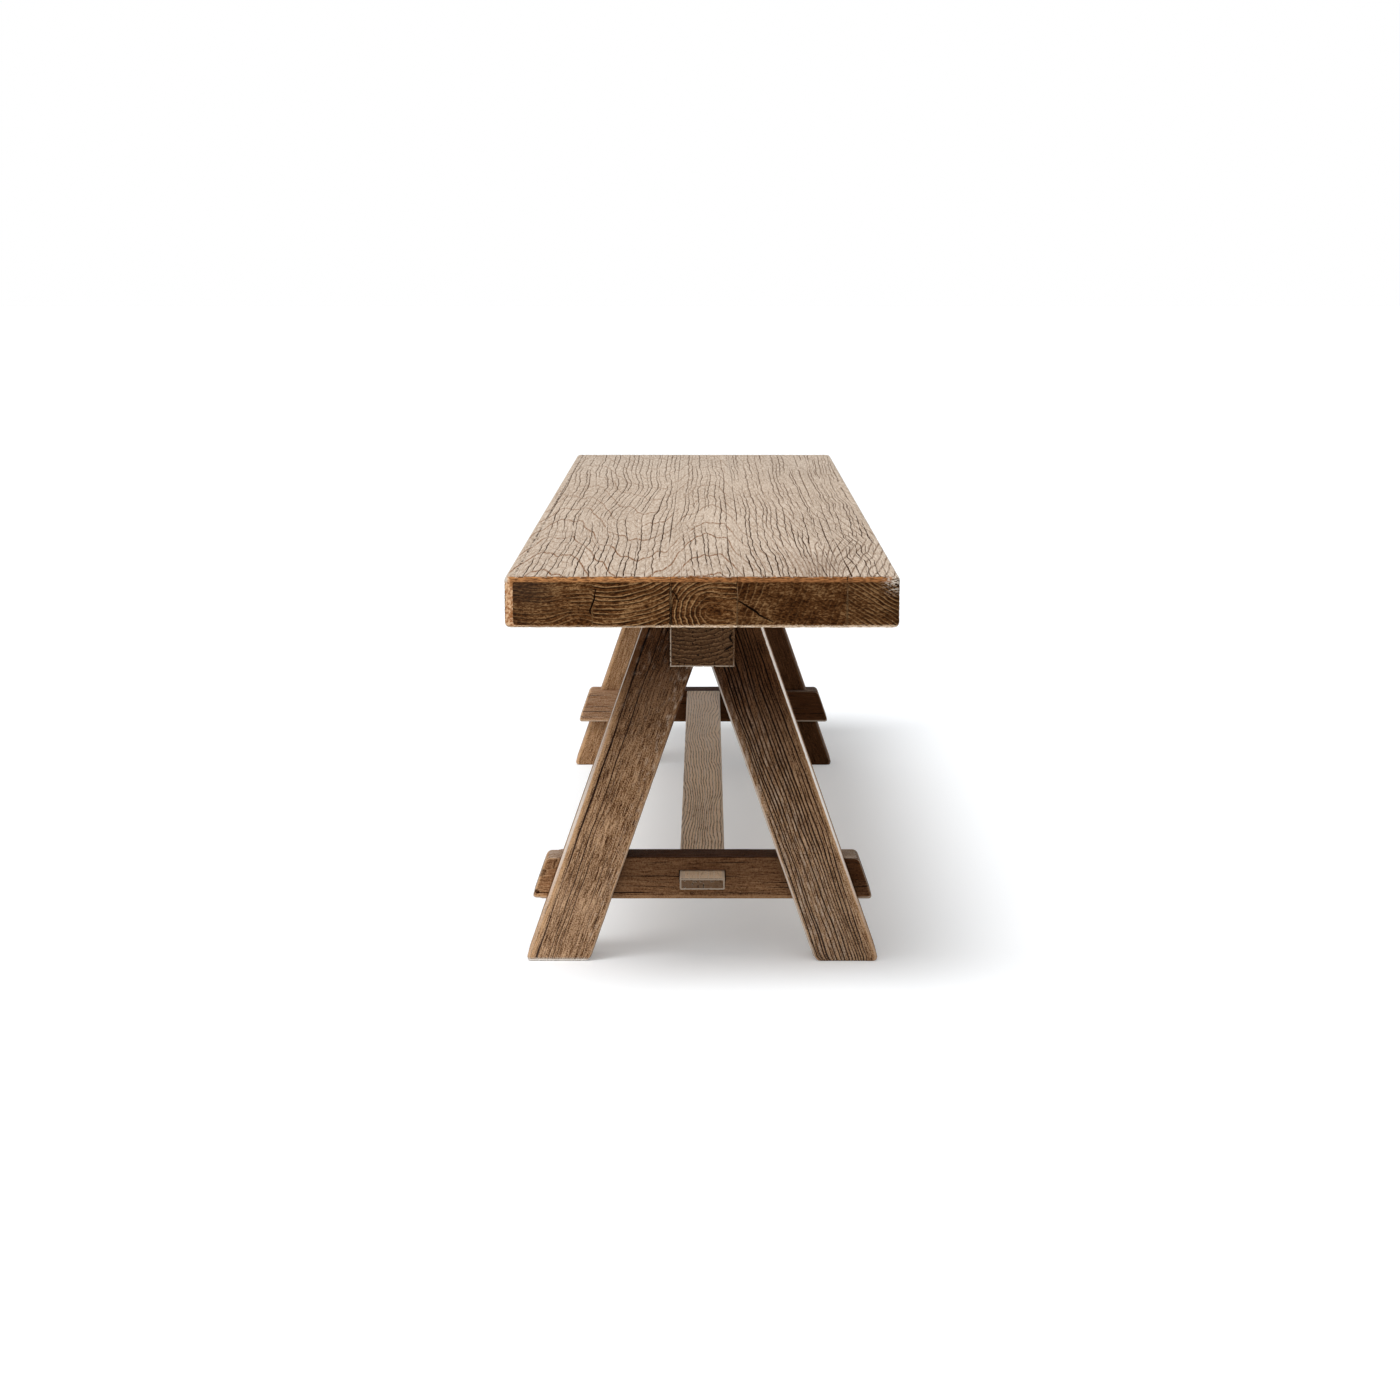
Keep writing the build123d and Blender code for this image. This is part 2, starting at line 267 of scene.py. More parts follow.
def plain_face(start, end, pitch):
    """Evenly spaced columns across a face with no grooves of their own."""
    count = max(2, int(round((end - start) / pitch)) + 1)
    return {"places": np.linspace(start, end, count), "shape": np.zeros(count),
            "number": np.zeros(count, int)}


def grooved_face(start, end, centres, half_width, filler):
    """Columns across a face: five at each groove, shaped like a V, and fillers between the grooves."""
    steps = np.reshape(half_width, (-1, 1)) * np.array([-1.9, -0.9, 0.0, 0.9, 1.9])
    depths = np.array([0.0, 0.42, 1.0, 0.42, 0.0])
    centres = np.sort(centres)
    places = (centres[:, None] + steps).ravel()
    shape = np.tile(depths, len(centres))
    number = np.repeat(np.arange(len(centres)), len(depths))
    stops = np.concatenate([[start], places, [end]])
    lows = np.concatenate([[0], np.arange(4, len(places), 5) + 1])
    for low in lows:
        gap = stops[low + 1] - stops[low]
        count = max(0, int(gap / filler))
        extra = stops[low] + gap * np.arange(1, count + 1) / (count + 1)
        places = np.concatenate([places, extra])
        shape = np.concatenate([shape, np.zeros(count)])
        number = np.concatenate([number, np.zeros(count, int)])
    places = np.concatenate([places, [start, end]])
    shape = np.concatenate([shape, [0, 0]])
    number = np.concatenate([number, [0, 0]])
    order = np.argsort(places, kind="stable")
    return {"places": places[order], "shape": shape[order], "number": number[order]}


def spread_centres(start, end, pitch, seed, jitter=0.28):
    """Groove centres about a pitch apart, each moved a little by chance."""
    count = max(1, int(round((end - start) / pitch)))
    chance = np.random.default_rng(seed).uniform(-jitter, jitter, count)
    return start + (np.arange(count) + 0.5 + chance) * (end - start) / count


def spread_face(start, end, margin, pitch, seed, half_width, filler):
    """A grooved face with its grooves about a pitch apart, a margin in from the face's borders."""
    centres = spread_centres(start + margin, end - margin, pitch, seed)
    return grooved_face(start, end, centres, half_width, filler)


def from_ends(rows):
    """Distance of each row from the nearer end of its bar."""
    return np.minimum(rows - rows[0], rows[-1] - rows)


def arris_inset(distance, radius):
    """How far a face draws in at a distance from the end, so that the end's edge is a quarter circle."""
    inside = np.clip(radius - distance, 0, radius)
    return radius - np.sqrt(np.clip(radius ** 2 - inside ** 2, 0, None))


def end_rows(low, high, radius, pitch, breaks=()):
    """Places of the rows along a bar: close together round both ends, a pitch apart between."""
    turn = np.linspace(0, math.pi / 2, 6)
    near = radius * (1 - np.cos(turn))
    count = int(round((high - low - 2 * radius) / pitch))
    middle = np.linspace(low + radius, high - radius, count + 1)
    rows = np.concatenate([low + near, middle, high - near])
    closest = 0.2 * MM
    if len(breaks):
        rows = rows[np.min(np.abs(rows[:, None] - np.array(breaks)), axis=1) > closest]
        rows = np.concatenate([rows, breaks])
    return np.unique(np.round(rows, 7))


# a worn width and a slope too small to show, and the edge field's value far from any worn arris
NO_RIM = 1e-6
NO_SLOPE = 1e-6
UNWORN = 9.0


def bar_surface(rows, box, radii, faces, insets, wander, relief, rims, end_rims):
    """A rounded rectangle carried along rows.

    Each face's columns run clockwise from its first corner; a column's place is moved sideways by
    wander(place, row, face) and inwards by relief(place, row, face, shape, number). Each corner is a
    quarter circle. A face that draws in at a row pulls its neighbours' nearest columns with it.
    rims holds the worn width at the corner after each face, end_rims at both ends of each face; the
    edge field is the distance from the nearest arris over that width.
    Returns the points (row, column, 2) in the section's plane and the fields that colour needs.
    """
    a0, a1, b0, b1 = box
    corners = np.array([(a0, b1), (a1, b1), (a1, b0), (a0, b0)])
    widths = np.array([a1 - a0, b1 - b0, a1 - a0, b1 - b0])
    rows = rows[:, None]
    points, cracks, edges, girths = [], [], [], []
    girth = 0.0
    for side in range(4):
        after, before = (side + 1) % 4, (side - 1) % 4
        face, width = faces[side], widths[side]
        first, last = radii[side], width - radii[after]
        place = face["places"][None, :]
        reach = np.clip(0.16 * width, 6 * MM, 16 * MM)
        hold = ramp(place, first, first + reach) * ramp(-place, -last, -last + reach)
        moved = place + hold * wander(place, rows, side)
        gaps = SMALLEST_STEP * np.arange(place.shape[1])
        moved = np.maximum.accumulate(moved - gaps, axis=1) + gaps
        moved = np.clip(moved, first + gaps, last - gaps[::-1])
        lead = np.clip(1 - (moved - first) / PULL_IN, 0, 1) ** 2
        tail = np.clip(1 - (last - moved) / PULL_IN, 0, 1) ** 2
        slid = moved + insets[before][:, None] * lead - insets[after][:, None] * tail
        depth, crack = relief(moved, rows, side, face["shape"][None, :], face["number"][None, :])
        level = insets[side][:, None] + depth
        points.append(corners[side] + slid[..., None] * TANGENTS[side] - level[..., None] * OUTWARDS[side])
        cracks.append(crack)
        end_gap = np.minimum(rows - rows.min(), rows.max() - rows) / end_rims[side]
        edge = np.minimum((moved - first) / rims[before], (last - moved) / rims[side])
        edges.append(np.minimum(edge, end_gap))
        girths.append(np.broadcast_to(girth + place, moved.shape))
        turn = np.arange(1, ARC_STEPS)[None, :] / ARC_STEPS * math.pi / 2
        radius = radii[after]
        end = widths[side] + turn * 0
        depth, crack = relief(end, rows, side, turn * 0, np.zeros(turn.shape, int))
        heart = (corners[after]
                 - (insets[after][:, None, None] + radius) * TANGENTS[side]
                 - (insets[side][:, None, None] + radius) * OUTWARDS[side])
        ray = np.sin(turn)[..., None] * TANGENTS[side] + np.cos(turn)[..., None] * OUTWARDS[side]
        points.append(heart + (radius - depth)[..., None] * ray)
        cracks.append(crack)
        on_arc = 0.0 if rims[side] > NO_RIM else UNWORN
        edges.append(np.minimum(on_arc, end_gap) + np.zeros(depth.shape))
        girths.append(np.broadcast_to(girth + last + radius * turn, depth.shape))
        girth += width
    return (np.concatenate(points, 1), np.concatenate(cracks, 1),
            np.concatenate(edges, 1), np.concatenate(girths, 1))


def square_angle(points):
    """Place of each point round its own box, clockwise from the top left corner, from 0 to 4."""
    low, high = points.min(0), points.max(0)
    u, v = ((points - (low + high) / 2) / ((high - low) / 2)).T
    flat = np.abs(u) <= np.abs(v)
    safe_v = np.where(flat, v, 1)
    safe_u = np.where(flat, 1, u)
    place = np.where(flat & (v > 0), (u / safe_v + 1) / 2, 0)
    place = np.where(~flat & (u > 0), 1 + (1 - v / safe_u) / 2, place)
    place = np.where(flat & (v <= 0), 2 + (1 + u / safe_v) / 2, place)
    return np.where(~flat & (u <= 0), 3 + (1 - v / safe_u) / 2, place)


def from_lowest(loop, place):
    """A closed clockwise loop turned to start at its lowest place, its places kept from running back."""
    place = np.maximum.accumulate(np.unwrap(place, period=4))
    place = np.minimum(place, place[0] + 4 - 1e-9) % 4
    start = -int(np.argmin(np.diff(place, prepend=place[-1])))
    return np.roll(loop, start), np.roll(place, start)


def zipper(outer, outer_place, inner, inner_place):
    """Triangles between two closed clockwise loops, made by walking both at once by their places."""
    outer, outer_place = from_lowest(outer, outer_place)
    inner, inner_place = from_lowest(inner, inner_place)
    facing = (np.searchsorted(inner_place, outer_place, side="right") - 1) % len(inner)
    from_outer = np.stack([np.roll(outer, 1), outer, inner[facing]], -1)
    facing = (np.searchsorted(outer_place, inner_place, side="left") - 1) % len(outer)
    from_inner = np.stack([outer[facing], inner, np.roll(inner, 1)], -1)
    return np.concatenate([from_outer, from_inner])


def end_grid(ring, margin, pitch):
    """Flat grid inside a ring of points, a margin in from its box: its columns and its rows."""
    low, high = ring.min(0) + margin, ring.max(0) - margin
    across = np.linspace(low[0], high[0], max(3, int((high[0] - low[0]) / pitch)))
    up = np.linspace(low[1], high[1], max(3, int((high[1] - low[1]) / pitch)))
    return np.meshgrid(across, up)


def loop_round(rows, columns):
    """Indices round a grid's border, clockwise from its top left corner."""
    index = np.arange(rows * columns).reshape(rows, columns)
    return np.concatenate([index[-1, :], index[-2::-1, -1], index[0, -2::-1], index[1:-1, 0]])


def straight(a, b, along):
    """Points of a bar that runs along the bench: a goes across and b up."""
    return np.stack(np.broadcast_arrays(a, along, b), -1)


def build_bar(name, rows, surface, ends, to_space, cap_rims, cap_margin=1.2 * MM, cap_pitch=0.8 * MM):
    """Closed mesh of a bar: its surface and, at each end, a grid sewn to the last ring.

    ends holds two functions (a, b) -> depth, crack, phase, slope for the low and the high end, and
    cap_rims the worn width at the top, right, bottom and left of both ends.
    to_space(a, b, along) gives the points in the row frame.
    """
    points, crack, edge, girth = surface
    count, columns = points.shape[:2]
    along = np.broadcast_to(rows[:, None], crack.shape)
    places = [to_space(points[..., 0], points[..., 1], along).reshape(-1, 3)]
    fields = {"crack": [crack.ravel()], "edge": [edge.ravel()],
              "cut": [np.zeros(crack.size)], "phase": [np.zeros(crack.size)],
              "slope": [np.full(crack.size, NO_SLOPE)]}
    chart = [np.stack([girth, along], -1).reshape(-1, 2)]
    i, j = np.meshgrid(np.arange(count - 1), np.arange(columns), indexing="ij")
    k = (j + 1) % columns
    quads = np.stack([i * columns + j, i * columns + k, (i + 1) * columns + k,
                      (i + 1) * columns + j], -1).reshape(-1, 4)
    wrap = np.repeat((k == 0).ravel()[:, None], 4, 1) & np.array([False, True, True, False])
    triangles = []
    total = crack.size
    for ring, sign, describe in ((0, -1, ends[0]), (count - 1, 1, ends[1])):
        outline = points[ring]
        a, b = end_grid(outline, cap_margin, cap_pitch)
        depth, end_crack, phase, slope = describe(a, b)
        places.append(to_space(a, b, rows[ring] - sign * depth).reshape(-1, 3))
        low, high = outline.min(0), outline.max(0)
        border = np.minimum(np.minimum((high[1] - b) / cap_rims[0], (high[0] - a) / cap_rims[1]),
                            np.minimum((b - low[1]) / cap_rims[2], (a - low[0]) / cap_rims[3]))
        for key, value in (("crack", end_crack), ("edge", border), ("cut", np.ones(a.shape)),
                           ("phase", phase), ("slope", slope)):
            fields[key].append(np.broadcast_to(value, a.shape).ravel())
        chart.append(np.stack([a + END_CHART, b], -1).reshape(-1, 2))
        m, n = np.meshgrid(np.arange(a.shape[0] - 1), np.arange(a.shape[1] - 1), indexing="ij")
        corner = total + m * a.shape[1] + n
        grid = np.stack([corner, corner + a.shape[1], corner + a.shape[1] + 1, corner + 1], -1)
        loop = loop_round(*a.shape)
        flat = np.stack([a.ravel(), b.ravel()], -1)[loop]
        sewn = zipper(ring * columns + np.arange(columns), square_angle(outline),
                      total + loop, square_angle(flat))
        grid = grid.reshape(-1, 4)
        if sign < 0:
            grid, sewn = grid[:, ::-1], sewn[:, ::-1]
        quads = np.concatenate([quads, grid])
        wrap = np.concatenate([wrap, np.zeros(grid.shape, bool)])
        triangles.append(sewn)
        total += a.size
    triangles = np.concatenate(triangles)
    places = np.concatenate(places)
    if enclosed_volume(places, quads, triangles) < 0:
        quads, wrap, triangles = quads[:, ::-1], wrap[:, ::-1], triangles[:, ::-1]
    chart = np.concatenate(chart)
    corners = np.concatenate([quads.ravel(), triangles.ravel()])
    chart_corners = chart[corners]
    chart_corners[:wrap.size, 0] += wrap.ravel() * girth.max() * np.sign(girth[0, -1] - girth[0, 0])
    return make_mesh(name, places, quads, triangles, chart_corners,
                     {key: np.concatenate(value) for key, value in fields.items()})


def enclosed_volume(places, quads, triangles):
    """Signed volume: the sum over triangles of a corner dotted with the cross product of the others."""
    split = np.concatenate([quads[:, [0, 1, 2]], quads[:, [0, 2, 3]], triangles])
    first, second, third = places[split[:, 0]], places[split[:, 1]], places[split[:, 2]]
    return float(np.sum(first * np.cross(second, third)) / 6)


def make_mesh(name, places, quads, triangles, chart, fields):
    """Mesh object from arrays of points, faces, a grain chart (UV) and fields stored at each point."""
    mesh = bpy.data.meshes.new(name)
    corners = np.concatenate([quads.ravel(), triangles.ravel()]).astype(np.int32)
    starts = np.concatenate([np.arange(len(quads)) * 4,
                             len(quads) * 4 + np.arange(len(triangles)) * 3]).astype(np.int32)
    mesh.vertices.add(len(places))
    mesh.vertices.foreach_set("co", places.astype(np.float32).ravel())
    mesh.loops.add(len(corners))
    mesh.loops.foreach_set("vertex_index", corners)
    mesh.polygons.add(len(starts))
    mesh.polygons.foreach_set("loop_start", starts)
    mesh.update(calc_edges=True)
    layer = mesh.uv_layers.new(name="grain")
    layer.uv.foreach_set("vector", chart.astype(np.float32).ravel())
    for key, values in fields.items():
        attribute = mesh.attributes.new(key, "FLOAT", "POINT")
        attribute.data.foreach_set("value", values.astype(np.float32))
    mesh.polygons.foreach_set("use_smooth", np.ones(len(starts), bool))
    mesh.validate()
    piece = bpy.data.objects.new(name, mesh)
    bpy.context.scene.collection.objects.link(piece)
    return piece


def settle(piece, material, slot, *nodes):
    """Gives a piece its material, lets it ride on the frame and stand for its CAD nodes."""
    piece.data.materials.append(material)
    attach(piece, BODY)
    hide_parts(*nodes)


# Grain of the seat

# joints between the boards from left to right, and the rings' change of run in the left board
CLEAR_JOINT, INNER_JOINT, RIGHT_JOINT = -0.032, 0.036, 0.148
LEFT_TURN = -0.112
SEAT_TOP, SEAT_UNDER = 0.457, 0.404
# the visible width of a growth line on the top, across and along the seat, and of a ring on the ends
LINE_ACROSS, LINE_ALONG = 1.1 * MM, 9 * MM
RING_LINE = 1 * MM
# how far the hollow follows behind its ridge, as a share of the rings' pitch
HOLLOW_LAG = 0.24

def top_wander(x, y, board_seed):
    """Sideways drift of the lengthwise fissures over the seat, in metres, from x and y of the seat.

    Three layers of noise, each finer and weaker, with an eye that pushes the lines apart, a waist
    that draws them together in an S, and sharper kinks towards the right.
    """
    drift = 9.0 * noise(x / 0.14, y / 0.60, 11) + 4.4 * noise(x / 0.07, y / 0.30, 12)
    drift = drift + 1.1 * noise(x / 0.022, y / 0.085, 13 + board_seed)
    eye = 6.5 * np.tanh((x + 0.062) / 0.009) * bump_at(x, -0.062, 0.034) * bump_at(y, -0.12, 0.26)
    waist = -4.5 * np.tanh((x + 0.098) / 0.02) * bump_at(x, -0.098, 0.035) * bump_at(y, 0.22, 0.34)
    bend = 6.0 * np.sin(2 * math.pi * (y + 0.1) / 0.90) * bump_at(x, -0.098, 0.05) * bump_at(y, 0.2, 0.55)
    zigzag = np.abs(((y / 0.26 + 0.9 * noise(x / 0.06, y / 0.5, 17)) % 1.0) - 0.5) * 4 - 1
    kinks = 2.6 * zigzag * bump_at(x, 0.17, 0.05) * bump_at(y, -0.4, 0.4)
    crooks = 1.1 * noise(x / 0.012, y / 0.05, 18) + 0.5 * noise(x / 0.005, y / 0.02, 19)
    return MM * (drift + eye + waist + bend + kinks + crooks)


# how far each growth line falls back towards the near end, at places across the seat
FALL_ACROSS = MM * np.array([-202, -190, -183, -176, -165, -152, -144, -137, -118, -95, -82, -70, -58, -40,
                             -18, -6, 2, 10, 18, 26, 40, 202])
FALL_BACK = MM * np.array([220, 105, 30, 6, 0, 2, 30, 80, 210, 330, 385, 400, 385, 285,
                           110, 38, 8, 0, 8, 45, 190, 2130])


def top_phase(x, y):
    """Phase of the growth lines on the top; a line shows where it passes a whole number plus half.

    Each line crosses the seat in two arches that point away from the near end, one at the left and
    one near the middle, with a bowl between. To the right the lines slant, and near the right edge
    they turn back in a V. Noise stirs them.
    """
    fall = np.interp(x, FALL_ACROSS, FALL_BACK)
    turned = np.clip(-0.46 - y, 0, None) * ramp(x, 0.085, 0.15)
    stir = 0.055 * noise(x / 0.024, y / 0.30, 21) + 0.028 * noise(x / 0.010, y / 0.13, 22)
    return (y + fall + 2.5 * turned + stir) / (0.17 - 0.06 * ramp(x, 0.02, 0.12))


def slope_of(field, x, y, x_step, y_step):
    """Change of a field over one visible line width, x_step across and y_step along."""
    across = field(x + x_step / 2, y) - field(x - x_step / 2, y)
    along = field(x, y + y_step / 2) - field(x, y - y_step / 2)
    return np.hypot(across, along)


def seat_end_phase(x, z):
    """Phase of the growth rings on the sawn ends: arcs and bands of each board, joined side by side."""
    heart_x, heart_z, pitch = -0.095, 0.545, 4.6 * MM
    arcs = -np.hypot(x - heart_x, z - heart_z) / pitch
    flat = (z - heart_z + 0.04 * (x - LEFT_TURN) + 0.0025 * np.sin((x + 0.2) / 0.019)) / pitch
    fan = 1.5 * bump_at(x, -0.128, 0.022) * bump_at(z, 0.416, 0.014)
    left = np.where(x > LEFT_TURN, arcs, flat - fan)
    heart = np.hypot((x - 0.011) * np.where(x > 0.011, 0.32, 0.95), z - 0.419)
    inner_left = heart / (4.9 * MM)
    inner_right = (x - 0.42 * (z - 0.43)) / (7.5 * MM)
    right = (z + 0.62 * (x - RIGHT_JOINT)) / (4.7 * MM)
    phase = np.where(x < CLEAR_JOINT, left, inner_left)
    phase = np.where(x > INNER_JOINT, inner_right, phase)
    phase = np.where(x > RIGHT_JOINT, right, phase)
    rough = np.where((x > CLEAR_JOINT) & (x < INNER_JOINT), 0.30, 0.20)
    return phase + rough * layered_noise(x / 0.030, z / 0.012, 33)


def ring_strength(x, z):
    """How clearly the rings show on the sawn ends, 0 to 1.

    They are faint at the knot and on the inner right board, and noise breaks them into patches.
    """
    base = np.where(x < LEFT_TURN, 0.55, 0.95)
    base = np.where(x > INNER_JOINT, 0.36, base)
    base = np.where(x > RIGHT_JOINT, 0.55 + 0.4 * ramp(x, 0.16, 0.185), base)
    knot = bump_at(x, 0.016, 0.024) * bump_at(z, 0.424, 0.016)
    patches = ramp(noise(x / 0.022, z / 0.010, 34), -0.55, 0.35)
    return np.clip(base * (0.35 + 0.75 * patches) * (1 - 0.95 * knot), 0, 1)


# cracks in the sawn ends: corner points (x, z) and half the width
END_CRACKS = (
    (((-0.1085, 0.4440), (-0.1100, 0.4330), (-0.1145, 0.4215), (-0.1130, 0.4170)), 1.1 * MM),
    (((0.0350, 0.4335), (0.0450, 0.4270), (0.0555, 0.4205), (0.0585, 0.4172), (0.0720, 0.4105)), 1.6 * MM),
    (((-0.0300, 0.4420), (-0.0260, 0.4365), (-0.0235, 0.4300)), 0.9 * MM),
)


def seat_end(seed):
    """Relief of a sawn seat end: ridges along the rings, fibre fuzz, and a few real cracks."""
    settings = bpy.context.scene.bench_seat

    def describe(x, z):
        phase = seat_end_phase(x, z)
        slope = slope_of(seat_end_phase, x, z, RING_LINE, RING_LINE)
        ridge = bump_at((phase % 1.0) - 0.5, 0.0, 1.0 * slope)
        hollow = bump_at(((phase + HOLLOW_LAG) % 1.0) - 0.5, 0.0, 1.1 * slope)
        fuzz = np.clip(0.5 + 0.5 * layered_noise(x / 0.0045, z / 0.0016, seed), 0, 1)
        depth = settings.end_relief * ((1 - ridge + hollow) * ring_strength(x, z) + 0.5 * fuzz)
        knot = bump_at(x, 0.011, 0.016) * bump_at(z, 0.416, 0.012)
        depth = depth + settings.end_relief * 1.2 * knot * roughness(x / 0.0028, z / 0.0028, seed + 2)
        crack = np.zeros(x.shape)
        for corners, half_width in END_CRACKS:
            crack = np.maximum(crack, crack_at(x, z, corners, half_width))
        fainter = np.minimum(np.abs(x - INNER_JOINT), np.abs(x - RIGHT_JOINT)) + 1 * MM
        by_joint = np.clip(1 - np.minimum(np.abs(x - CLEAR_JOINT), fainter) / (2.4 * MM), 0, 1)
        pits = ramp(noise(x / 0.0035, z / 0.0022, seed + 3), 0.1, 0.5)
        crack = np.maximum(crack, pits * by_joint)
        return depth + 2.6 * MM * crack ** 1.5, crack, phase, slope

    return describe


def build_seat_board(name, index, material):
    """A plank carried along the bench, with fissures in its top and sawn rings on its ends."""
    settings = bpy.context.scene.bench_seat
    low, high = node_box(name)
    outer_left, outer_right = index == 0, index == len(SEAT_BOARDS) - 1
    left = settings.edge_radius if outer_left else settings.joint_radius
    right = settings.edge_radius if outer_right else settings.joint_radius
    radii = (left, right, right, left)
    width, height = high[0] - low[0], high[2] - low[2]
    pitch = (6.9 * MM, 6.9 * MM, 6.4 * MM, 4.7 * MM)[index]
    top = spread_face(left, width - right, 2 * MM, pitch, 50 + index, settings.fissure_width, 2.1 * MM)
    long_side = spread_face(5 * MM, height - 5 * MM, 2 * MM, 5.5 * MM, 60 + index, 0.5 * MM, 1.6 * MM)
    joint_side = plain_face(settings.joint_radius, height - settings.joint_radius, 6 * MM)
    under = spread_face(right, width - left, 5 * MM, 20 * MM, 70 + index, 0.7 * MM, 9 * MM)
    faces = (top, long_side if outer_right else joint_side, under, long_side if outer_left else joint_side)
    rows = end_rows(low[1], high[1], settings.edge_radius, 6.4 * MM)
    end_gap = from_ends(rows)
    arris = arris_inset(end_gap, settings.edge_radius)
    plan = np.maximum(arris, arris_inset(end_gap, settings.corner_radius))
    far_plan = np.maximum(plan, arris_inset(rows[-1] - rows, settings.far_right_radius))
    under_arris = arris_inset(end_gap, settings.under_radius)
    insets = (arris, far_plan if outer_right else 0 * arris, under_arris, plan if outer_left else 0 * arris)

    def wander(place, row, side):
        if side == 0:
            return top_wander(low[0] + place, row, index)
        return 1.2 * MM * noise(place / 0.03, row / 0.16, 80 + 4 * index + side)

    def relief(place, row, side, shape, number):
        seed = 90 + 4 * index + side
        strength = 0.62 + 0.8 * noise(number * 7.3 + 0.5, row / 0.45, seed)
        strength = np.clip(strength + 0.4 * noise(number * 3.1 + 0.5, row / 0.10, seed + 9), 0.22, 1)
        strength = strength * ramp(noise(number * 5.9 + 0.5, row / 0.22, seed + 5), -0.72, -0.5)
        end_gap = np.minimum(row - rows[0], rows[-1] - row)
        crack = shape * strength * (0.25 + 0.75 * ramp(end_gap, 2 * MM, 9 * MM))
        rim = bump_at(end_gap, 2.5 * MM, 2.6 * MM) * roughness(place / 0.007, row / 0.004, seed + 2)
        outer = (side == 1 and outer_right) or (side == 3 and outer_left)
        if side == 0:
            x = low[0] + place
            line = np.abs((top_phase(x, row) % 1.0) - 0.5)
            line = line / slope_of(top_phase, x, row, LINE_ACROSS, LINE_ALONG)
            depth = settings.fissure_depth * crack + 0.16 * MM * np.clip(1.4 - line, 0, 1)
            depth = depth + 0.20 * MM * roughness(place / 0.006, row / 0.05, seed + 1)
        elif side == 2 or outer:
            depth = 1.0 * MM * crack + 0.25 * MM * roughness(place / 0.004, row / 0.06, seed + 1)
        else:
            depth = 0 * crack
        return depth + 0.55 * MM * np.clip(rim, 0, 1), crack

    box = (low[0], high[0], low[2], high[2])
    left_rim, right_rim = (5 * MM if outer_left else NO_RIM), NO_RIM
    surface = bar_surface(rows, box, radii, faces, insets, wander, relief,
                          (right_rim, right_rim, left_rim, left_rim),
                          (4 * MM, NO_RIM, NO_RIM, 5 * MM))
    piece = build_bar(name + "_wood", rows, surface, (seat_end(200), seat_end(300)), straight,
                      (0.8 * MM, NO_RIM, NO_RIM, 1.0 * MM if outer_left else NO_RIM), cap_pitch=0.85 * MM)
    paint_seat(piece, settings.edge_radius, high[1])
    settle(piece, material, "seat_wood", name)


def point_places(piece):
    """x, y and z of every point of a piece, as three arrays."""
    places = np.zeros(len(piece.data.vertices) * 3, np.float32)
    piece.data.vertices.foreach_get("co", places)
    return places.reshape(-1, 3).T.astype(float)


def store_fields(piece, **fields):
    """Keeps a number for each point of a piece under each name, for its material to read."""
    attributes = piece.data.attributes
    for name, values in fields.items():
        attribute = attributes.get(name) or attributes.new(name, "FLOAT", "POINT")
        attribute.data.foreach_set("value", values.astype(np.float32))


def read_field(piece, name):
    """One number for each point of a piece, as stored."""
    values = np.zeros(len(piece.data.vertices), np.float32)
    piece.data.attributes[name].data.foreach_get("value", values)
    return values


def paint_seat(piece, radius, end):
    """Stores where the growth lines run: on the top's points, and on the arrises round the sawn ends."""
    x, y, z = point_places(piece)
    fields = {key: read_field(piece, key) for key in ("cut", "phase", "slope")}
    long_grain = fields["cut"] < 0.5
    rounded = long_grain & (end - np.abs(y) < 0.9 * radius) & (z < z.max() - 0.5 * radius)
    top_slope = slope_of(top_phase, x, y, LINE_ACROSS, LINE_ALONG)
    end_slope = slope_of(seat_end_phase, x, z, RING_LINE, RING_LINE)
    fields["phase"] = np.where(long_grain, top_phase(x, y), fields["phase"])
    fields["slope"] = np.where(long_grain, top_slope, fields["slope"])
    fields["phase"] = np.where(rounded, seat_end_phase(x, z), fields["phase"])
    fields["slope"] = np.where(rounded, end_slope, fields["slope"])
    fields["cut"] = np.where(rounded, 1.0, fields["cut"])
    fields["bold"] = ring_strength(x, z)
    store_fields(piece, **fields)


# Node helpers

